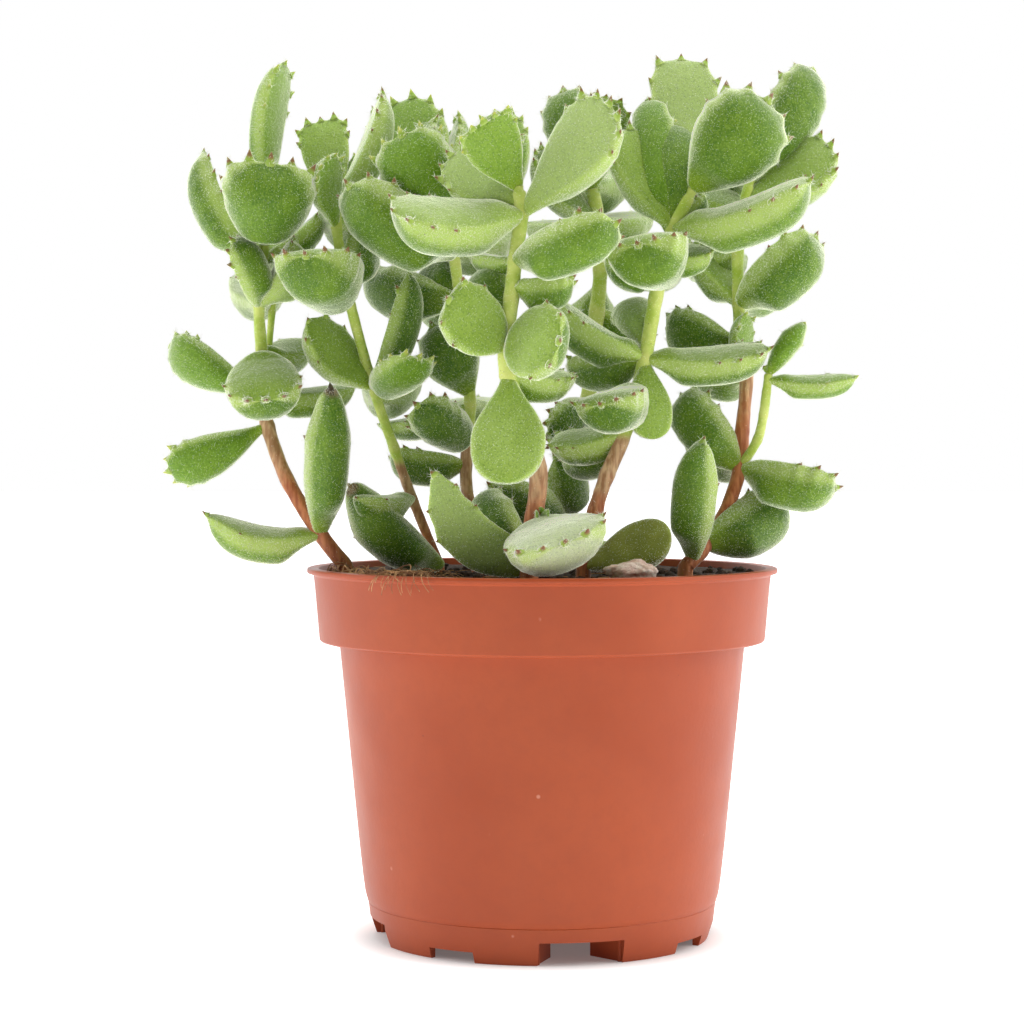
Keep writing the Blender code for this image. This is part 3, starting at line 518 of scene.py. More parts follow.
def leaf_form(points, leaf, blank, claw_blank, luck):
    """One leaf: its body's vertex places and what its skin needs to know, and the same for each claw."""
    start = along(points, leaf.joint)
    tip = seen(leaf.tip[0], leaf.tip[1], leaf.toward)
    forward, out, across = frame_of(start, tip, leaf.face)
    shape = leaf.shape
    tip -= forward * (0.3 * shape.claws)
    length = (tip - start).length
    start, tip, forward, out, across = (np.array(v) for v in (start, tip, forward, out, across))
    half = leaf.width / 2
    # Rings are spaced evenly along the margin, so that they close up round the end
    fine = 1 - (1 - np.linspace(0, 1, 400)) ** 2
    widths = half * outline(shape, fine)
    run = np.concatenate([[0], np.cumsum(np.hypot(np.diff(fine) * length, np.diff(widths)))])
    run /= run[-1]
    first = float(np.interp(max(shape.belly, 0.5), fine, run))

    def margin(t):
        """The way that the margin faces at t, as across and forward parts."""
        above, below = np.clip(t + 0.004, 0, 1), np.clip(t - 0.004, 0, 1)
        rise = np.interp(above, fine, widths) - np.interp(below, fine, widths)
        step = (above - below) * length
        slope = np.hypot(rise, step)
        return step / slope, -rise / slope

    def placed(t, side, on, lift):
        """Places at shares t of the length, moved sideways, onwards and out of the upper side."""
        bend = length * 4 * t * (1 - t)
        sway = 0.02 * length * math.sin(luck * 17) * np.sin(math.pi * t)
        return (start + (tip - start) * t[:, None] + forward * np.asarray(on)[:, None]
                + across * (side + sway + shape.lean * bend)[:, None] + out * (lift - shape.bow * bend)[:, None])

    def skin_facts(t, grain_side, values):
        facts = {name: np.full(len(t), float(leaf.skin == name)) for name in SKINS}
        facts["span"] = t
        facts["luck"] = np.full(len(t), luck)
        facts["grain"] = np.stack([grain_side, t * length, np.full(len(t), luck * 50)], axis=1)
        facts.update(values)
        return facts

    q = blank[:, 2]
    t = np.interp(q, run, fine)
    radius = np.hypot(blank[:, 0], blank[:, 1])
    turn = np.arctan2(blank[:, 1], blank[:, 0])
    cos, sin = np.cos(turn) * radius, np.sin(turn) * radius
    wide = half * outline(shape, t)
    edge = np.clip(np.abs(cos), 0, 1)
    # The margin swells a little at the root of each claw
    phase = np.clip((q - first) / (1 - first), 0, 1) * (shape.claws + 0.5)
    peak = 1 - 2 * np.abs(phase - np.floor(phase) - 0.5)
    swell = eased((q - first) / 0.04) * np.clip(peak, 0, 1) ** 1.3 * edge**5 * (shape.claws > 0)
    claw_length = 0.5 + 0.068 * leaf.width
    facing_side, facing_on = margin(t)
    push = swell * claw_length * 0.5
    side = np.sign(cos) * (wide * edge**0.92 + push * facing_side)
    # The section: a flatter upper side with a raised rim, and a full keel below
    rising = 0.3 + 0.7 * eased(t / (0.42 - 0.14 * shape.full))
    turning = 0.45 + 0.12 * shape.full
    falling = np.clip(1 - np.clip((t - turning) / (1 - turning), 0, 1) ** (2.6 + 1.2 * shape.full), 0, 1) ** 0.62
    deep = np.minimum(shape.plump * leaf.width * rising * falling, 1.9 * wide + 0.5)
    petiole = 1 - eased((t - 0.12) / 0.2)
    upper_share = 0.27 + 0.2 * petiole
    lower_share = 0.71 - 0.2 * petiole
    lift = np.where(sin > 0, upper_share * deep * np.abs(sin) ** 0.95, -lower_share * deep * np.abs(sin) ** 0.86)
    lift += 0.1 * deep * edge**4 * (1 - petiole) * (radius > 0.5)
    places = placed(t, side, push * facing_on, lift)
    rim = np.where(q > 0.995, 1.0, edge**6 * (radius > 0.5))
    upper = eased((sin + 0.12) / 0.24)
    body = places, skin_facts(t, side, {"rim": rim, "claw": np.zeros(len(t)), "upper": upper})
    claws = []
    if shape.claws:
        spots = [(step + 0.5, hand) for step in range(shape.claws) for hand in (-1, 1)] + [(shape.claws + 0.5, 0)]
        for number, (place, hand) in enumerate(spots):
            q_here = first + (1 - first) * place / (shape.claws + 0.5)
            here = np.full(len(claw_blank), float(np.interp(q_here, run, fine)))
            facing_side, facing_on = margin(here)
            uneven = 0.8 + 0.45 * abs(math.sin(luck * 50 + number * 2.3))
            size = claw_length * uneven * (0.7 if hand and place < 1 else 1.0)
            way_side = hand * 0.8 * facing_side
            way_on = 0.8 * facing_on + 0.5 if hand else np.ones(len(here))
            norm = np.hypot(way_side, way_on)
            way_side, way_on = way_side / norm, way_on / norm
            level = claw_blank[:, 2]
            thick = (0.5 + 0.45 * size) * (1 - level) ** 1.05 + 0.13 * (1 - level**4)
            reach = level * size * 1.25 - 0.3
            wander = claw_blank[:, 0] * thick
            wide_here = half * outline(shape, here)
            deep_here = float(np.interp(here[0], np.sort(t), deep[np.argsort(t)]))
            rise = 0.1 * deep_here + claw_blank[:, 1] * thick * 0.75 + 0.75 * size * level**1.5
            spot = placed(here, hand * wide_here + reach * way_side - wander * way_on,
                          reach * way_on + wander * way_side, rise)
            ones = np.ones(len(here))
            values = {"rim": 0.8 * ones, "claw": level, "tooth": ones, "upper": 0.5 * ones}
            claws.append((spot, skin_facts(here, hand * wide_here, values)))
    return body, claws


def stem_form(name, stem, points, blank, rooted=True):
    """The vertex places of a stem. A rooted one stands upright in the soil before it follows its joints."""
    foot = points[0].copy()
    foot.z = SOIL_TOP - ROOT_DEPTH + 0.5
    edge = points[0].copy()
    edge.z = SOIL_TOP + 1.0
    count = len(points) - 1
    upright = 0.08 if rooted else 0.0
    levels = sorted(set(np.round(blank[:, 2], 5)))
    line = []
    for level in levels:
        if level < upright:
            line.append((foot.lerp(edge, level / upright), 0.0))
        else:
            place = (level - upright) / (1 - upright) * count
            line.append((along(points, place), place))
    centres = np.array([centre[:] for centre, _ in line])
    places_along = np.array([place for _, place in line])
    share = places_along / count
    knot = np.exp(-((places_along - np.round(places_along)) / 0.1) ** 2) * (places_along > 0.5)
    radii = (stem.foot_radius + (stem.top_radius - stem.foot_radius) * share) * (1 + 0.09 * knot)
    radii *= np.where(share > 0.97, 0.75, 1.0)
    runs = np.gradient(centres, axis=0)
    runs /= np.linalg.norm(runs, axis=1)[:, None]
    sides = np.cross(runs, (0, 1, 0))
    sides /= np.linalg.norm(sides, axis=1)[:, None]
    fronts = np.cross(sides, runs)
    number = {level: i for i, level in enumerate(levels)}
    ring = np.array([number[z] for z in np.round(blank[:, 2], 5)])
    spread = blank[:, 0, None] * sides[ring] + blank[:, 1, None] * fronts[ring]
    rough = np.array([noise.noise(Vector(centre) * 0.35) for centre in centres])
    places = centres[ring] + spread * (radii * (1 + 0.1 * rough))[ring][:, None]
    row = EYE_ROW + (EYE_HEIGHT - places[:, 2]) * ROWS_PER_MM
    start = BARK_ROW[name] if rooted else 700
    bark = eased((row - start + 18) / 36)
    facts = {"bark": bark, "low": eased((row - start) / 120), "share": share[ring], "knot": knot[ring]}
    facts["luck"] = np.full(len(row), 0.5)
    return places, facts


def mesh_of(name, parts, finish_of):
    """One piece from several pressed blanks. parts are places, faces, attributes and a finish number."""
    data = bpy.data.meshes.new(name)
    vertices = np.concatenate([part[0] for part in parts]) * MM
    offset = 0
    faces = []
    for places, blank_faces, _, _ in parts:
        faces += [[corner + offset for corner in face] for face in blank_faces]
        offset += len(places)
    data.from_pydata(vertices.tolist(), [], faces)
    finish_numbers = np.concatenate([np.full(len(part[1]), part[3]) for part in parts])
    data.polygons.foreach_set("material_index", finish_numbers.astype(np.int32))
    data.polygons.foreach_set("use_smooth", np.ones(len(faces), bool))
    for label in sorted({label for part in parts for label in part[2]}):
        flat = label != "grain"
        layer = data.attributes.new(label, "FLOAT" if flat else "FLOAT_VECTOR", "POINT")
        blank = (lambda part: np.zeros(len(part[0]))) if flat else (lambda part: np.zeros((len(part[0]), 3)))
        values = np.concatenate([part[2].get(label, blank(part)) for part in parts])
        layer.data.foreach_set("value" if flat else "vector", values.ravel().astype(np.float32))
    for finish in finish_of:
        data.materials.append(finish)
    data.update()
    return add_piece(name, data)


def add_piece(name, data):
    thing = bpy.data.objects.new(name, data)
    bpy.context.scene.collection.objects.link(thing)
    return thing


def leaf_finish():
    skin = Finish("leaf_skin", Roughness=0.55, Sheen_Weight=1.0, Sheen_Roughness=0.3,
                  Subsurface_Weight=0.15, Subsurface_Scale=0.004)
    skin.shader.inputs["Subsurface Radius"].default_value = (0.6, 1.0, 0.12)
    skin.shader.inputs["Sheen Tint"].default_value = (*SHEEN, 1.0)
    skin.shader.inputs["Specular IOR Level"].default_value = 0.3
    luck, upper, rim, claw, span = (skin.attribute(name) for name in ("luck", "upper", "rim", "claw", "span"))
    young, silver, pale, dark, olive, dried = (skin.attribute(name) for name in SKINS)
    grain = skin.node("ShaderNodeAttribute", {"attribute_name": "grain"}, {}, "Vector")
    run = skin.node("ShaderNodeVectorMath", {"operation": "MULTIPLY"}, {0: grain, 1: (1.5, 0.4, 1.0)})
    streak = skin.node("ShaderNodeTexNoise", {}, {"Vector": run, "Scale": 1.6, "Detail": 3.0, "Roughness": 0.65})
    nap = skin.noise(2300.0, 2.0, 0.7)
    under_green = skin.mix(luck, srgb(60, 102, 0), srgb(80, 120, 4))
    upper_green = skin.mix(luck, srgb(138, 168, 66), srgb(154, 182, 84))
    green = skin.mix(upper, under_green, upper_green)
    cloud = skin.noise(150.0, 3.0, 0.6).ramp(0.35, 0.7)
    green = skin.mix(cloud * 0.5, green, srgb(112, 146, 14))
    green = skin.mix(young * 0.5, green, srgb(108, 152, 16))
    green = skin.mix(dark * 0.5, green, srgb(46, 84, 6))
    green = skin.mix(silver * 0.6, green, srgb(176, 196, 126))
    green = skin.mix(pale * 0.85, green, srgb(206, 214, 178))
    green = skin.mix((1 - span.ramp(0.0, 0.26)) * 0.5, green, srgb(164, 188, 52))
    green = skin.mix(streak.ramp(0.42, 0.75) * 0.22, green, srgb(150, 178, 60))
    green = skin.mix(nap.ramp(0.45, 0.7) * 0.42, green, srgb(160, 184, 76))
    green = skin.mix((1 - nap.ramp(0.3, 0.52)) * 0.45, green, srgb(44, 80, 4))
    green = skin.mix(rim.ramp(0.2, 0.9) * 0.65, green, srgb(186, 208, 112))
    green = skin.mix(olive * 0.85, green, skin.mix(cloud, srgb(118, 122, 40), srgb(146, 150, 62)))
    specks = (1 - skin.cells(430.0).ramp(0.05, 0.09)) * skin.noise(95.0, 1.0).ramp(0.62, 0.66)
    green = skin.mix(specks * 0.8, green, srgb(52, 44, 20))
    tooth = skin.mix(claw.ramp(0.42, 0.72), srgb(140, 168, 60), skin.mix(young, srgb(120, 66, 50), srgb(178, 182, 84)))
    green = skin.mix(claw.ramp(0.0, 0.4) * 0.95, green, tooth)
    wither = span.ramp(0.955, 0.99) * dried
    green = skin.mix(wither, green, skin.mix(streak.ramp(0.4, 0.6), srgb(70, 56, 40), srgb(150, 124, 94)))
    skin.feed("Base Color", green)
    relief = nap * 0.7 + streak * 0.5 + skin.noise(330.0, 2.0) * 1.2
    skin.feed("Normal", skin.bump(relief, 0.45, 0.0006))
    return skin.material


def stem_finish():
    skin = Finish("stem_skin", Roughness=0.6, Sheen_Weight=0.6, Sheen_Roughness=0.35, Subsurface_Weight=0.08,
                  Subsurface_Scale=0.003)
    skin.shader.inputs["Subsurface Radius"].default_value = (0.5, 1.0, 0.2)
    bark = skin.attribute("bark")
    low = skin.attribute("low")
    knot = skin.attribute("knot")
    patch = skin.noise(240.0, 3.0, 0.6)
    green = skin.mix(patch.ramp(0.3, 0.7), srgb(168, 192, 66), srgb(206, 216, 118))
    drawn_out = skin.node("ShaderNodeVectorMath", {"operation": "MULTIPLY"}, {0: skin.place, 1: (1, 1, 0.22)})
    fleck = skin.node("ShaderNodeTexNoise", {}, {"Vector": drawn_out, "Scale": 900.0, "Detail": 3.0})
    tan = skin.mix(fleck.ramp(0.35, 0.65), srgb(156, 112, 72), srgb(206, 170, 128))
    red = skin.mix(fleck.ramp(0.3, 0.7), srgb(156, 80, 40), srgb(200, 126, 78))
    wood = skin.mix((low + (patch - 0.5) * 0.8).ramp(0.15, 0.75), tan, red)
    colour = skin.mix((bark + (patch - 0.5) * 0.4).ramp(0.3, 0.75), green, wood)
    colour = skin.mix(knot.ramp(0.3, 1.0) * 0.3 * (1 - bark), colour, srgb(206, 206, 120))
    specks = (1 - skin.cells(600.0).ramp(0.06, 0.1)) * skin.noise(120.0, 1.0).ramp(0.58, 0.63)
    colour = skin.mix(specks * 0.8, colour, srgb(50, 36, 20))
    skin.feed("Base Color", colour)
    skin.feed("Normal", skin.bump(fleck * (bark * 1.4 + 0.4), 0.4, 0.0006))
    return skin.material


def hair_finish():
    """Fine hairs pass on the light that falls on their far side, so that they shine along a leaf's outline; they also
    carry a faint painted glow of their own.
    """
    # The emission is a painted glow: the hairs give off a little white light of their own, though they are no lamp.
    hair = Finish("leaf_hair", Roughness=0.5, Emission_Strength=0.13)
    hair.shader.inputs["Base Color"].default_value = (*srgb(246, 248, 236), 1.0)
    hair.shader.inputs["Emission Color"].default_value = (1.0, 1.0, 0.94, 1.0)
    hair.shader.inputs["Specular IOR Level"].default_value = 0.6
    through = hair.node("ShaderNodeBsdfTranslucent", {}, {"Color": (*srgb(250, 252, 240), 1.0)})
    both = hair.node("ShaderNodeMixShader", {}, {0: 0.45, 2: through})
    hair.tree.links.new(hair.shader.outputs[0], both.socket.node.inputs[1])
    hair.tree.links.new(both.socket, hair.tree.nodes["Material Output"].inputs["Surface"])
    return hair.material


def pot_finish():
    plastic = Finish("pot_plastic_moulded", Roughness=0.42)
    plastic.shader.inputs["Specular IOR Level"].default_value = 0.26
    base = plastic.mix(plastic.noise(26.0, 3.0, 0.55).ramp(0.3, 0.7), srgb(158, 68, 34), srgb(168, 76, 40))
    fine = plastic.noise(340.0, 3.0, 0.65).ramp(0.35, 0.75)
    base = plastic.mix(fine * 0.2, base, srgb(146, 66, 40))
    specks = 1 - plastic.cells(260.0).ramp(0.04, 0.075)
    chosen = plastic.noise(120.0, 1.0).ramp(0.6, 0.66)
    base = plastic.mix(specks * chosen * 0.55, base, srgb(110, 56, 44))
    pale = (1 - plastic.cells(150.0).ramp(0.05, 0.1)) * plastic.noise(75.0, 1.0).ramp(0.58, 0.66)
    base = plastic.mix(pale * 0.4, base, srgb(226, 168, 144))
    plastic.feed("Base Color", base)
    plastic.feed("Roughness", plastic.noise(90.0, 2.0) * 0.14 + 0.36)
    relief = plastic.noise(900.0, 2.0) * 0.5 + plastic.noise(60.0, 2.0)
    plastic.feed("Normal", plastic.bump(relief, 0.12, 0.0005))
    return plastic.material


def soil_finish():
    peat = Finish("peat_damp", Roughness=0.92)
    colour = peat.mix(peat.noise(900.0, 4.0, 0.7).ramp(0.35, 0.7), srgb(38, 26, 19), srgb(92, 66, 46))
    colour = peat.mix(peat.noise(160.0, 3.0, 0.6).ramp(0.5, 0.7) * 0.6, colour, srgb(62, 44, 30))
    peat.feed("Base Color", colour)
    peat.feed("Normal", peat.bump(peat.noise(1400.0, 5.0, 0.75), 0.9, 0.001))
    return peat.material


def fibre_finish():
    fibre = Finish("coconut_fibre", Roughness=0.7)
    colour = fibre.mix(fibre.noise(300.0, 2.0).ramp(0.35, 0.65), srgb(122, 82, 48), srgb(190, 146, 98))
    fibre.feed("Base Color", colour)
    return fibre.material


def stone_finish():
    stone = Finish("perlite_rough", Roughness=0.85)
    stone.shader.inputs["Subsurface Weight"].default_value = 0.05
    colour = stone.mix(stone.noise(500.0, 4.0, 0.7).ramp(0.35, 0.65), srgb(206, 168, 148), srgb(240, 222, 208))
    colour = stone.mix(stone.noise(150.0, 2.0).ramp(0.58, 0.72) * 0.7, colour, srgb(176, 112, 84))
    stone.feed("Base Color", colour)
    stone.feed("Normal", stone.bump(stone.noise(900.0, 5.0, 0.75), 0.8, 0.0009))
    return stone.material


def hairs_of(name, places, normals, faces, weights, edge, count, finish, draw):
    """Short white hairs that stand on a piece, drawn evenly over its skin."""
    triangles = np.array(faces)
    a, b, c = (places[triangles[:, k]] for k in range(3))
    areas = np.linalg.norm(np.cross(b - a, c - a), axis=1) / 2 * weights
    chosen = draw.choice(len(triangles), size=count, p=areas / areas.sum())
    u, v = draw.random(count), draw.random(count)
    flip = u + v > 1
    u, v = np.where(flip, 1 - u, u), np.where(flip, 1 - v, v)
    w = 1 - u - v
    corner = triangles[chosen]
    mix = lambda values: (values[corner[:, 0]] * w[:, None] + values[corner[:, 1]] * u[:, None]
                          + values[corner[:, 2]] * v[:, None])
    roots, out = mix(places), mix(normals)
    out /= np.linalg.norm(out, axis=1)[:, None] + 1e-9
    lean = draw.normal(size=(count, 3)) * 0.34 + np.array((0, 0, 0.18))
    way = out + lean
    way /= np.linalg.norm(way, axis=1)[:, None]
    edge = mix(edge[:, None])
    length = (1.15 + 0.45 * edge[:, 0]) * draw.uniform(0.55, 1.3, count)
    stout = (0.06 + 0.022 * edge)[:, :, None]
    side = np.cross(way, draw.normal(size=(count, 3)))
    side /= np.linalg.norm(side, axis=1)[:, None]
    front = np.cross(way, side)
    mesh = bmesh.new()
    bmesh.ops.create_cone(mesh, cap_ends=False, segments=3, radius1=1, radius2=0, depth=1)
    mesh.verts.index_update()
    spike = np.array([vert.co[:] for vert in mesh.verts])
    spike_faces = np.array([[vert.index for vert in face.verts] for face in mesh.faces])
    mesh.free()
    size = len(spike)
    grown = (roots[:, None, :]
             + spike[None, :, 0, None] * side[:, None, :] * stout
             + spike[None, :, 1, None] * front[:, None, :] * stout
             + (spike[None, :, 2, None] + 0.42) * way[:, None, :] * length[:, None, None])
    grown = grown.reshape(-1, 3) * MM
    corners = (spike_faces[None, :, :] + (np.arange(count) * size)[:, None, None]).reshape(-1, 3)
    data = bpy.data.meshes.new(name)
    data.vertices.add(len(grown))
    data.vertices.foreach_set("co", grown.ravel().astype(np.float32))
    data.loops.add(corners.size)
    data.loops.foreach_set("vertex_index", corners.ravel().astype(np.int32))
    data.polygons.add(len(corners))
    data.polygons.foreach_set("loop_start", (np.arange(len(corners)) * 3).astype(np.int32))
    data.materials.append(finish)
    data.update(calc_edges=True)
    return add_piece(name, data)


def grow_stem(name, stem, finishes, blanks, draw):
    """One leafy stem: its tube and its leaves, as a piece that stands for the CAD node."""
    leaf_blank, stem_blank, claw_blank, twig_blank = blanks
    points = [seen(*joint) for joint in stem.joints]
    places, facts = stem_form(name, stem, points, stem_blank[0])
    parts = [(places, stem_blank[1], facts, 1)]
    leaves = [(points, leaf) for leaf in stem.leaves + SHOOTS.get(name, [])]
    if stem.branch:
        twig = [seen(*joint) for joint in stem.branch.joints]
        places, facts = stem_form(name, stem.branch, twig, twig_blank[0], False)
        parts.append((places, twig_blank[1], facts, 1))
        leaves += [(twig, leaf) for leaf in stem.branch.leaves]
    for line, leaf in leaves:
        body, claws = leaf_form(line, leaf, leaf_blank[0], claw_blank[0], float(draw.random()))
        parts.append((body[0], leaf_blank[1], body[1], 0))
        parts += [(claw[0], claw_blank[1], claw[1], 0) for claw in claws]
    piece = mesh_of(name + "_growth", parts, finishes)
    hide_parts(name)
    return piece


def skin_of(piece):
    """A piece's vertices in millimetres, its normals, and its faces cut into triangles."""
    data = piece.data
    count = len(data.vertices)
    places = np.empty(count * 3, np.float32)
    data.vertices.foreach_get("co", places)
    normals = np.array([n.vector[:] for n in data.vertex_normals])
    data.calc_loop_triangles()
    triangles = np.empty(len(data.loop_triangles) * 3, np.int32)
    data.loop_triangles.foreach_get("vertices", triangles)
    return places.reshape(-1, 3) / MM, normals, triangles.reshape(-1, 3)


def combine(thing, others, operation):
    """Join or cut a piece with a list of others in one Boolean, and remove the others."""
    group = bpy.data.collections.new(thing.name + "_parts")
    bpy.context.scene.collection.children.link(group)
    for other in others:
        bpy.context.scene.collection.objects.unlink(other)
        group.objects.link(other)
    step = thing.modifiers.new("Combine", "BOOLEAN")
    step.operand_type = "COLLECTION"
    step.collection = group
    step.operation = operation
    step.solver = "EXACT"
    bpy.context.view_layer.update()
    graph = bpy.context.evaluated_depsgraph_get()
    result = bpy.data.meshes.new_from_object(thing.evaluated_get(graph))
    thing.modifiers.clear()
    thing.data = result
    for other in others:
        bpy.data.objects.remove(other, do_unlink=True)
    bpy.data.collections.remove(group)


def turned(profile, segments):
    """A solid turned from an outline of radius and height, by spinning it round the axis."""
    mesh = bmesh.new()
    verts = [mesh.verts.new((radius, 0, height)) for radius, height in profile]
    edges = [mesh.edges.new(pair) for pair in zip(verts, verts[1:])]
    bmesh.ops.spin(mesh, geom=verts + edges, cent=(0, 0, 0), axis=(0, 0, 1), dvec=(0, 0, 0),
                   angle=math.tau, steps=segments, use_merge=True)
    bmesh.ops.remove_doubles(mesh, verts=mesh.verts, dist=0.0001)
    bmesh.ops.recalc_face_normals(mesh, faces=mesh.faces)
    return mesh


def finished(name, mesh, finish, shade_smooth=True):
    """A mesh in millimetres as a piece in metres."""
    bmesh.ops.scale(mesh, vec=(MM, MM, MM), verts=mesh.verts)
    data = bpy.data.meshes.new(name)
    mesh.to_mesh(data)
    mesh.free()
    data.materials.append(finish)
    data.polygons.foreach_set("use_smooth", np.full(len(data.polygons), shade_smooth))
    return add_piece(name, data)


def prism(plan, low, high):
    """An upright block on a plan of points that go round anticlockwise."""
    mesh = bmesh.new()
    floor = mesh.faces.new([mesh.verts.new((x, y, low)) for x, y in plan])
    raised = bmesh.ops.extrude_face_region(mesh, geom=[floor])
    tops = [v for v in raised["geom"] if isinstance(v, bmesh.types.BMVert)]
    bmesh.ops.translate(mesh, verts=tops, vec=(0, 0, high - low))
    bmesh.ops.recalc_face_normals(mesh, faces=mesh.faces)
    return mesh


def turned_plan(points, bearing):
    cos, sin = math.cos(math.radians(bearing)), math.sin(math.radians(bearing))
    return [(out * cos - left * sin, out * sin + left * cos) for out, left in points]


def make_pot(plastic):
    inner_top = COLLAR_TOP_RADIUS - WALL
    ring_inside = FOOT_RADIUS - 1.8
    profile = [
        (0, FLOOR_UNDER), (ring_inside, FLOOR_UNDER), (ring_inside, 0), (FOOT_RADIUS - 0.35, 0),
        (FOOT_RADIUS - 0.1, 0.1), (FOOT_RADIUS, 0.35), (FOOT_TOP_RADIUS - 0.2, SEAM_HEIGHT - 5.0),
        (FOOT_TOP_RADIUS, SEAM_HEIGHT - 3.4), (FOOT_TOP_RADIUS + 0.42, SEAM_HEIGHT - 0.25),
        (FOOT_TOP_RADIUS + 0.34, SEAM_HEIGHT - 0.08), (FOOT_TOP_RADIUS + 0.55, SEAM_HEIGHT + 0.12),
        (WALL_BOTTOM_RADIUS - 0.3, WALL_BOTTOM - 0.6),
        (WALL_BOTTOM_RADIUS, WALL_BOTTOM + 0.8), (WALL_BOTTOM_RADIUS + 0.45, WALL_BOTTOM + 4.0),
        (WALL_BOTTOM_RADIUS + 1.55, WALL_BOTTOM + 14), (WALL_TOP_RADIUS, COLLAR_BOTTOM - 1.2),
        (WALL_TOP_RADIUS + 0.08, COLLAR_BOTTOM - 0.5), (WALL_TOP_RADIUS + 0.5, COLLAR_BOTTOM),
        (COLLAR_BOTTOM_RADIUS - 0.9, COLLAR_BOTTOM), (COLLAR_BOTTOM_RADIUS - 0.35, COLLAR_BOTTOM + 0.15),
        (COLLAR_BOTTOM_RADIUS - 0.08, COLLAR_BOTTOM + 0.45), (COLLAR_BOTTOM_RADIUS + 0.02, COLLAR_BOTTOM + 1.1),
        (COLLAR_TOP_RADIUS - 0.25, POT_HEIGHT - LIP_THICKNESS - 3.2),
        (COLLAR_TOP_RADIUS + 0.05, POT_HEIGHT - LIP_THICKNESS - 0.6),
        (COLLAR_TOP_RADIUS + 0.5, POT_HEIGHT - LIP_THICKNESS - 0.12),
        (LIP_RADIUS - 0.45, POT_HEIGHT - LIP_THICKNESS), (LIP_RADIUS - 0.12, POT_HEIGHT - LIP_THICKNESS + 0.1),
        (LIP_RADIUS, POT_HEIGHT - LIP_THICKNESS + 0.35), (LIP_RADIUS, POT_HEIGHT - 0.4),
        (LIP_RADIUS - 0.12, POT_HEIGHT - 0.12), (LIP_RADIUS - 0.4, POT_HEIGHT),
        (inner_top + 0.4, POT_HEIGHT), (inner_top + 0.1, POT_HEIGHT - 0.12), (inner_top, POT_HEIGHT - 0.4),
        (COLLAR_BOTTOM_RADIUS - WALL, COLLAR_BOTTOM + WALL), (WALL_TOP_RADIUS - WALL, COLLAR_BOTTOM + WALL - 0.2),
        (WALL_BOTTOM_RADIUS - WALL, WALL_BOTTOM + 1.4), (WALL_BOTTOM_RADIUS - WALL - 1.6, FLOOR_TOP),
        (0, FLOOR_TOP),
    ]
    pot = finished("pot_moulding", turned(profile, 168), plastic)
    cheeks = []
    cutters = []
    for quarter in range(4):
        bearing = NOTCH_TURN + 90 * quarter
        half = WIDE_NOTCH / 2
        mouth = CHANNEL_MOUTH / 2
        outer = math.sqrt(ring_inside**2 - half**2) + 0.6
        inner = outer - CHANNEL_DEPTH
        for side in (-1, 1):
            plan = [
                (outer, side * (half + CHANNEL_WALL)), (inner, side * (mouth + CHANNEL_WALL)),
                (inner, side * mouth), (outer, side * half),
            ]
            if side < 0:
                plan.reverse()
            cheeks.append(finished("cheek", prism(turned_plan(plan, bearing), 0.0, FLOOR_UNDER + 0.7), plastic))
        gap = [(outer + 0.1, -half), (FOOT_TOP_RADIUS + 4, -half - 0.4), (FOOT_TOP_RADIUS + 4, half + 0.4)]
        gap.append((outer + 0.1, half))
        cutters.append(finished("wide_notch", prism(turned_plan(gap, bearing), -2.0, WIDE_NOTCH_HEIGHT), plastic))
        middle = [(outer - 2.6, -half + 1.9), (outer + 1.2, -half + 0.02), (outer + 1.2, half - 0.02)]
        middle.append((outer - 2.6, half - 1.9))
        cutters.append(finished("notch_inside", prism(turned_plan(middle, bearing), -2.0, WIDE_NOTCH_HEIGHT), plastic))
        small = SMALL_NOTCH / 2
        gap = [(ring_inside - 4, -small), (FOOT_TOP_RADIUS + 4, -small), (FOOT_TOP_RADIUS + 4, small)]
        gap.append((ring_inside - 4, small))
        plan = turned_plan(gap, bearing + SMALL_NOTCH_OFFSET)
        cutters.append(finished("small_notch", prism(plan, -2.0, SMALL_NOTCH_HEIGHT), plastic))
    combine(pot, cheeks, "UNION")
    combine(pot, cutters, "DIFFERENCE")
    pot.data.set_sharp_from_angle(angle=math.radians(32))
    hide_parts("pot")
    return pot


def soil_height(x, y):
    """The soil's surface: uneven in the middle and level along its edge."""
    radius = math.hypot(x, y)
    rough = noise.noise(Vector((x * 0.09 + 3.1, y * 0.09 - 1.7, 0.4)))
    crumbs = noise.noise(Vector((x * 0.45, y * 0.45, 2.0))) + 0.6 * noise.noise(Vector((x * 1.1, y * 1.1, 5.0)))
    heaped = 0.8 * smooth((radius - 44) / 9)
    return SOIL_TOP + SOIL_BUMP * rough * (1 - smooth((radius - 40) / 14)) + 0.5 * crumbs + heaped


def make_soil(peat):
    edge = COLLAR_TOP_RADIUS - WALL - 0.9
    mesh = bmesh.new()
    bmesh.ops.create_circle(mesh, cap_ends=True, cap_tris=True, segments=96, radius=edge)
    for cuts in (3, 2):
        spokes = [e for e in mesh.edges if abs(e.verts[0].co.length - e.verts[1].co.length) > 1.0]
        bmesh.ops.subdivide_edges(mesh, edges=spokes, cuts=cuts, use_grid_fill=True)
    bmesh.ops.triangulate(mesh, faces=[f for f in mesh.faces if len(f.verts) > 4])
    border = [e for e in mesh.edges if e.is_boundary]
    for vert in mesh.verts:
        vert.co.z = soil_height(vert.co.x, vert.co.y)
    skirt = bmesh.ops.extrude_edge_only(mesh, edges=border)
    low = [v for v in skirt["geom"] if isinstance(v, bmesh.types.BMVert)]
    for vert in low:
        vert.co.z = COLLAR_BOTTOM + WALL + 1.0
        vert.co.x *= 0.975
        vert.co.y *= 0.975
    base = [e for e in skirt["geom"] if isinstance(e, bmesh.types.BMEdge)]
    bmesh.ops.holes_fill(mesh, edges=base)
    bmesh.ops.recalc_face_normals(mesh, faces=mesh.faces)
    soil = finished("soil_surface", mesh, peat)
    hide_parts("soil")
    return soil


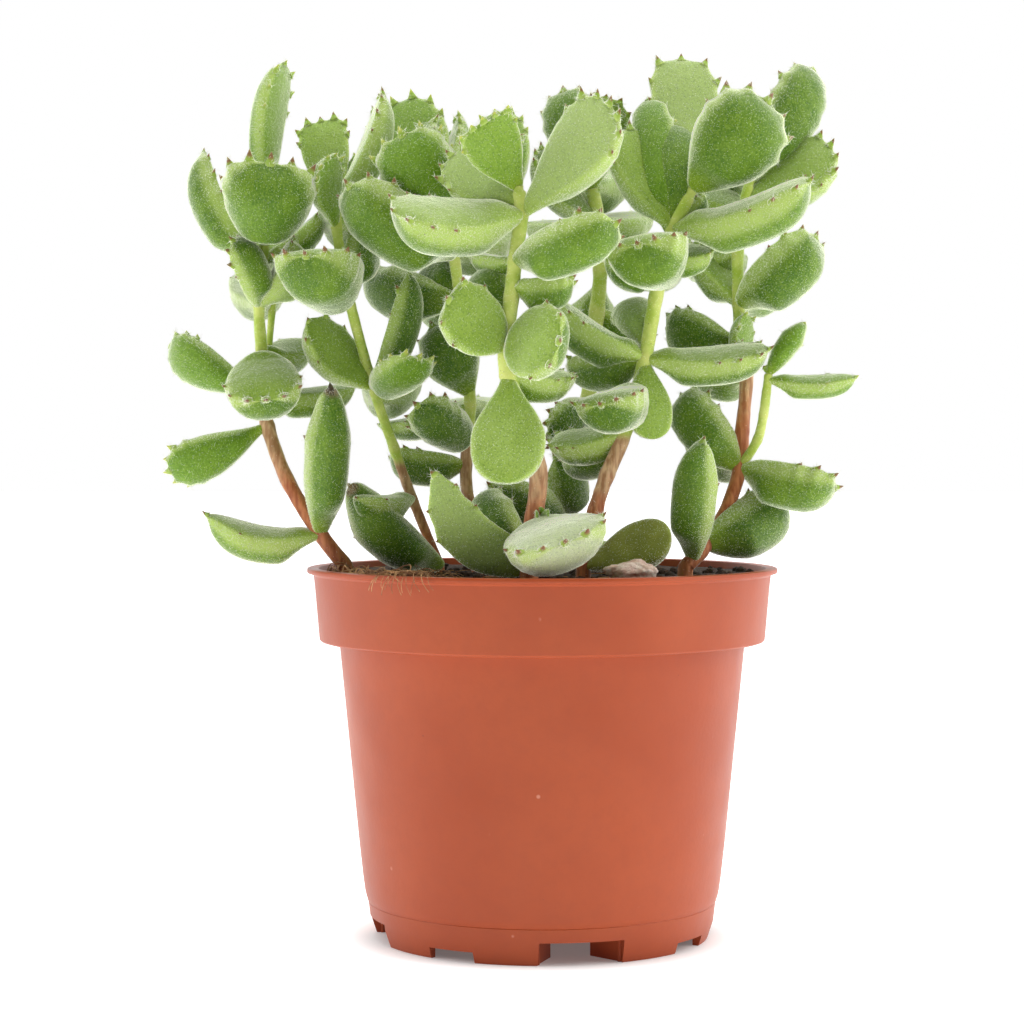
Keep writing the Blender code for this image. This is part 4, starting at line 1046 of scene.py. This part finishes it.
def make_crumbs(peat, draw):
    """Loose crumbs of peat on the soil."""
    mesh = bmesh.new()
    for _ in range(420):
        radius = 54 * math.sqrt(draw.random())
        bearing = draw.random() * math.tau
        x, y = radius * math.cos(bearing), radius * math.sin(bearing)
        size = draw.uniform(0.5, 1.7)
        made = bmesh.ops.create_icosphere(mesh, subdivisions=1, radius=size)
        for vert in made["verts"]:
            rough = 1 + 0.4 * noise.noise(vert.co * 1.3 + Vector((x, y, 0)))
            vert.co *= rough
            vert.co.z *= 0.7
        bmesh.ops.translate(mesh, verts=made["verts"], vec=(x, y, soil_height(x, y) + size * 0.25))
    return finished("soil_crumbs", mesh, peat, False)


def make_stone(finish):
    mesh = bmesh.new()
    bmesh.ops.create_icosphere(mesh, subdivisions=5, radius=1.0)
    middle = seen(*STONE_PLACE)
    for vert in mesh.verts:
        spot = vert.co.copy()
        rough = 1 + 0.28 * noise.noise(spot * 1.7 + Vector((4.0, 1.0, 2.0)))
        rough += 0.10 * noise.noise(spot * 4.5) + 0.05 * noise.noise(spot * 11)
        vert.co = Vector((spot.x * STONE_SIZE[0], spot.y * STONE_SIZE[1], spot.z * STONE_SIZE[2])) * rough
        vert.co += middle
    lowest = min(vert.co.z for vert in mesh.verts)
    for vert in mesh.verts:
        vert.co.z += SOIL_TOP - 0.1 - lowest
    stone = finished("perlite_lump", mesh, finish)
    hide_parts("perlite")
    return stone


def strand(mesh, points, radius):
    """A thin strand along a line of points, pressed from a four-sided rod, added to a mesh."""
    rod = bmesh.new()
    bmesh.ops.create_cone(rod, cap_ends=True, segments=4, radius1=radius, radius2=radius, depth=1)
    upright = [e for e in rod.edges if abs(e.verts[0].co.z - e.verts[1].co.z) > 0.5]
    bmesh.ops.subdivide_edges(rod, edges=upright, cuts=len(points) * 2 - 3, use_grid_fill=True)
    count = len(points) - 1
    for vert in rod.verts:
        place = min(max(vert.co.z + 0.5, 0.0), 1.0) * count
        centre = along(points, place)
        ahead = along(points, min(place + 0.05, count)) - along(points, max(place - 0.05, 0))
        side = ahead.cross(Vector((0.3, 0.5, 0.8))).normalized()
        front = side.cross(ahead).normalized()
        vert.co = centre + side * vert.co.x + front * vert.co.y
    bmesh.ops.recalc_face_normals(rod, faces=rod.faces)
    data = bpy.data.meshes.new("strand")
    rod.to_mesh(data)
    rod.free()
    mesh.from_mesh(data)
    bpy.data.meshes.remove(data)


def make_fibres(finish, draw):
    """Coconut fibres: a tangle by the left front rim, a few strands that hang over it, and some on the soil."""
    mesh = bmesh.new()
    for number in range(150):
        tangled = number < 105
        if tangled:
            start = seen(draw.uniform(316, 436), 560, draw.uniform(14, 44))
            reach, lift = draw.uniform(4, 11), draw.uniform(0.3, 2.6)
        else:
            radius, bearing = 46 * math.sqrt(draw.random()), draw.random() * math.tau
            start = Vector((radius * math.cos(bearing), radius * math.sin(bearing), 0))
            reach, lift = draw.uniform(6, 16), draw.uniform(0.2, 1.2)
        heading = draw.uniform(0, math.tau)
        raised = draw.uniform(0.0, 1.8) if tangled else 0.2
        points = []
        for step in range(5):
            share = step / 4
            spot = start + Vector((math.cos(heading), 0.6 * math.sin(heading), 0)) * reach * share
            radius = math.hypot(spot.x, spot.y)
            if radius > 55.8:
                spot *= 55.8 / radius
            spot.z = soil_height(spot.x, spot.y) + 0.3 + lift * math.sin(math.pi * share) + raised * draw.random()
            points.append(spot)
            heading += draw.uniform(-0.8, 0.8)
        strand(mesh, points, draw.uniform(0.07, 0.17))
    for _ in range(16):
        bearing = math.atan2(-1, (draw.uniform(366, 436) - AXIS_COLUMN) / 210)
        slant = draw.uniform(-0.12, 0.12)
        drop = draw.uniform(0.5, 4.5)
        points = []
        for share, radius, height in ((0, 53.5, 93.4), (1, 56.5, 95.0), (2, 59.6, 94.9), (3, 61.0, 94.0 - drop * 0.5),
                                      (4, 60.9 - 0.2 * drop, 93.6 - drop)):
            turn = bearing + slant * share / 4
            points.append(Vector((radius * math.cos(turn), radius * math.sin(turn), height + draw.uniform(0, 0.5))))
        strand(mesh, points, draw.uniform(0.06, 0.12))
    return finished("coconut_fibres", mesh, finish)


def light(name, place, aim, size, power, colour):
    lamp = bpy.data.lights.new(name, "AREA")
    lamp.shape = "RECTANGLE"
    lamp.size, lamp.size_y = size
    lamp.energy = power
    lamp.color = colour
    holder = bpy.data.objects.new(name, lamp)
    holder.location = place
    holder.rotation_euler = (Vector(aim) - Vector(place)).to_track_quat("-Z", "Y").to_euler()
    bpy.context.scene.collection.objects.link(holder)


def set_studio(axis):
    """A flat white floor, with a painted shadow round the pot's foot, the sky, soft boxes, and the camera."""
    mesh = bmesh.new()
    bmesh.ops.create_grid(mesh, x_segments=1, y_segments=1, size=6.0)
    data = bpy.data.meshes.new("studio_floor")
    mesh.to_mesh(data)
    mesh.free()
    white = Finish("studio_white", Roughness=0.9, Emission_Strength=0.95)
    white.shader.inputs["Base Color"].default_value = (0.8, 0.8, 0.8, 1.0)
    white.shader.inputs["Specular IOR Level"].default_value = 0.0
    # Within a few millimetres of the pot's foot, and under it, the floor's glow drops to a dark grey: a painted shadow
    # round and under the foot.
    away = white.node("ShaderNodeVectorMath", {"operation": "DISTANCE"},
                      {0: white.place, 1: (axis[0], axis[1], 0.0)}, "Value")
    beyond_painted_shadow = away.ramp(0.037, 0.06)
    white.feed("Emission Color", white.mix(beyond_painted_shadow, (0.12, 0.12, 0.12), (1.0, 1.0, 1.0)))
    data.materials.append(white.material)
    floor = add_piece("studio_floor", data)
    world = bpy.data.worlds.new("studio_air")
    world.use_nodes = True
    air = world.node_tree.nodes["Background"]
    air.inputs["Color"].default_value = (1, 1, 1, 1)
    path = world.node_tree.nodes.new("ShaderNodeLightPath")
    around = world.node_tree.nodes.new("ShaderNodeTexCoord")
    split = world.node_tree.nodes.new("ShaderNodeSeparateXYZ")
    world.node_tree.links.new(around.outputs["Generated"], split.inputs[0])
    behind = Shade(world.node_tree, split.outputs["Y"]).ramp(-0.25, 0.7) * (BACK_LIGHT - AIR_LIGHT) + AIR_LIGHT
    strength = Shade(world.node_tree, path.outputs["Is Camera Ray"]) * (1 - behind) + behind
    world.node_tree.links.new(strength.socket, air.inputs["Strength"])
    bpy.context.scene.world = world
    x, y = axis
    light("key_box", (x + 0.86, y - 0.2, 0.5), (x, y, 0.12), (0.5, 0.8), 5.3, (1.0, 0.985, 0.96))
    light("fill_box", (x - 0.88, y - 0.14, 0.42), (x, y, 0.12), (0.4, 0.8), 3.2, (0.98, 0.99, 1.0))
    light("top_box", (x, y - 0.08, 0.98), (x, y, 0.12), (0.6, 0.5), 4.2, (1.0, 1.0, 1.0))
    camera = bpy.data.cameras.new("front_view")
    camera.sensor_width = 36
    camera.lens = CAMERA_LENS
    camera.clip_start = 0.01
    holder = bpy.data.objects.new("front_view", camera)
    holder.location = (x, y - EYE_DISTANCE * MM, EYE_HEIGHT * MM)
    holder.rotation_euler = Vector(CAMERA_AIM).to_track_quat("-Z", "Y").to_euler()
    bpy.context.scene.collection.objects.link(holder)
    bpy.context.scene.camera = holder
    bpy.context.scene.view_settings.view_transform = "Standard"


def main():
    for thing in list(bpy.data.objects):
        bpy.data.objects.remove(thing, do_unlink=True)
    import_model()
    low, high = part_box("pot")
    axis = ((low.x + high.x) / 2, (low.y + high.y) / 2)
    set_studio(axis)
    draw = np.random.default_rng(7)
    green, stalk, hair = leaf_finish(), stem_finish(), hair_finish()
    plastic, peat = pot_finish(), soil_finish()
    pieces = [make_pot(plastic), make_soil(peat), make_crumbs(peat, draw), make_stone(stone_finish())]
    pieces.append(make_fibres(fibre_finish(), draw))
    blanks = (tube_blank(LEAF_SIDES, LEAF_RINGS), tube_blank(STEM_SIDES, 90), tube_blank(7, 4),
              tube_blank(10, 24))
    growth = []
    for name, stem in STEMS.items():
        growth.append(grow_stem(name, stem, (green, stalk), blanks, draw))
    skins = [skin_of(piece) for piece in growth]
    areas = []
    for places, _, triangles in skins:
        a, b, c = (places[triangles[:, k]] for k in range(3))
        areas.append(np.linalg.norm(np.cross(b - a, c - a), axis=1).sum())
    for piece, (places, normals, triangles), area in zip(growth, skins, areas):
        count = min(int(HAIRS * area / sum(areas)), 66000)
        bark = np.empty(len(places), np.float32)
        piece.data.attributes["bark"].data.foreach_get("value", bark)
        rim = np.empty(len(places), np.float32)
        piece.data.attributes["rim"].data.foreach_get("value", rim)
        tooth = np.empty(len(places), np.float32)
        piece.data.attributes["tooth"].data.foreach_get("value", tooth)
        bare = np.maximum(bark * 0.9, tooth * 0.8)[triangles].max(axis=1)
        front = eased((-places[triangles, 1].mean(axis=1) + 24) / 22)
        weights = (1 - bare) * (0.3 + 0.7 * front) * (1 + 2.5 * rim[triangles].mean(axis=1))
        tuft = hairs_of(piece.name + "_hairs", places, normals, triangles, weights, rim, count, hair, draw)
        pieces += [piece, tuft]
    for piece in pieces:
        piece.data.transform(Matrix.Translation((axis[0], axis[1], 0)))
        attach(piece, "root")


main()
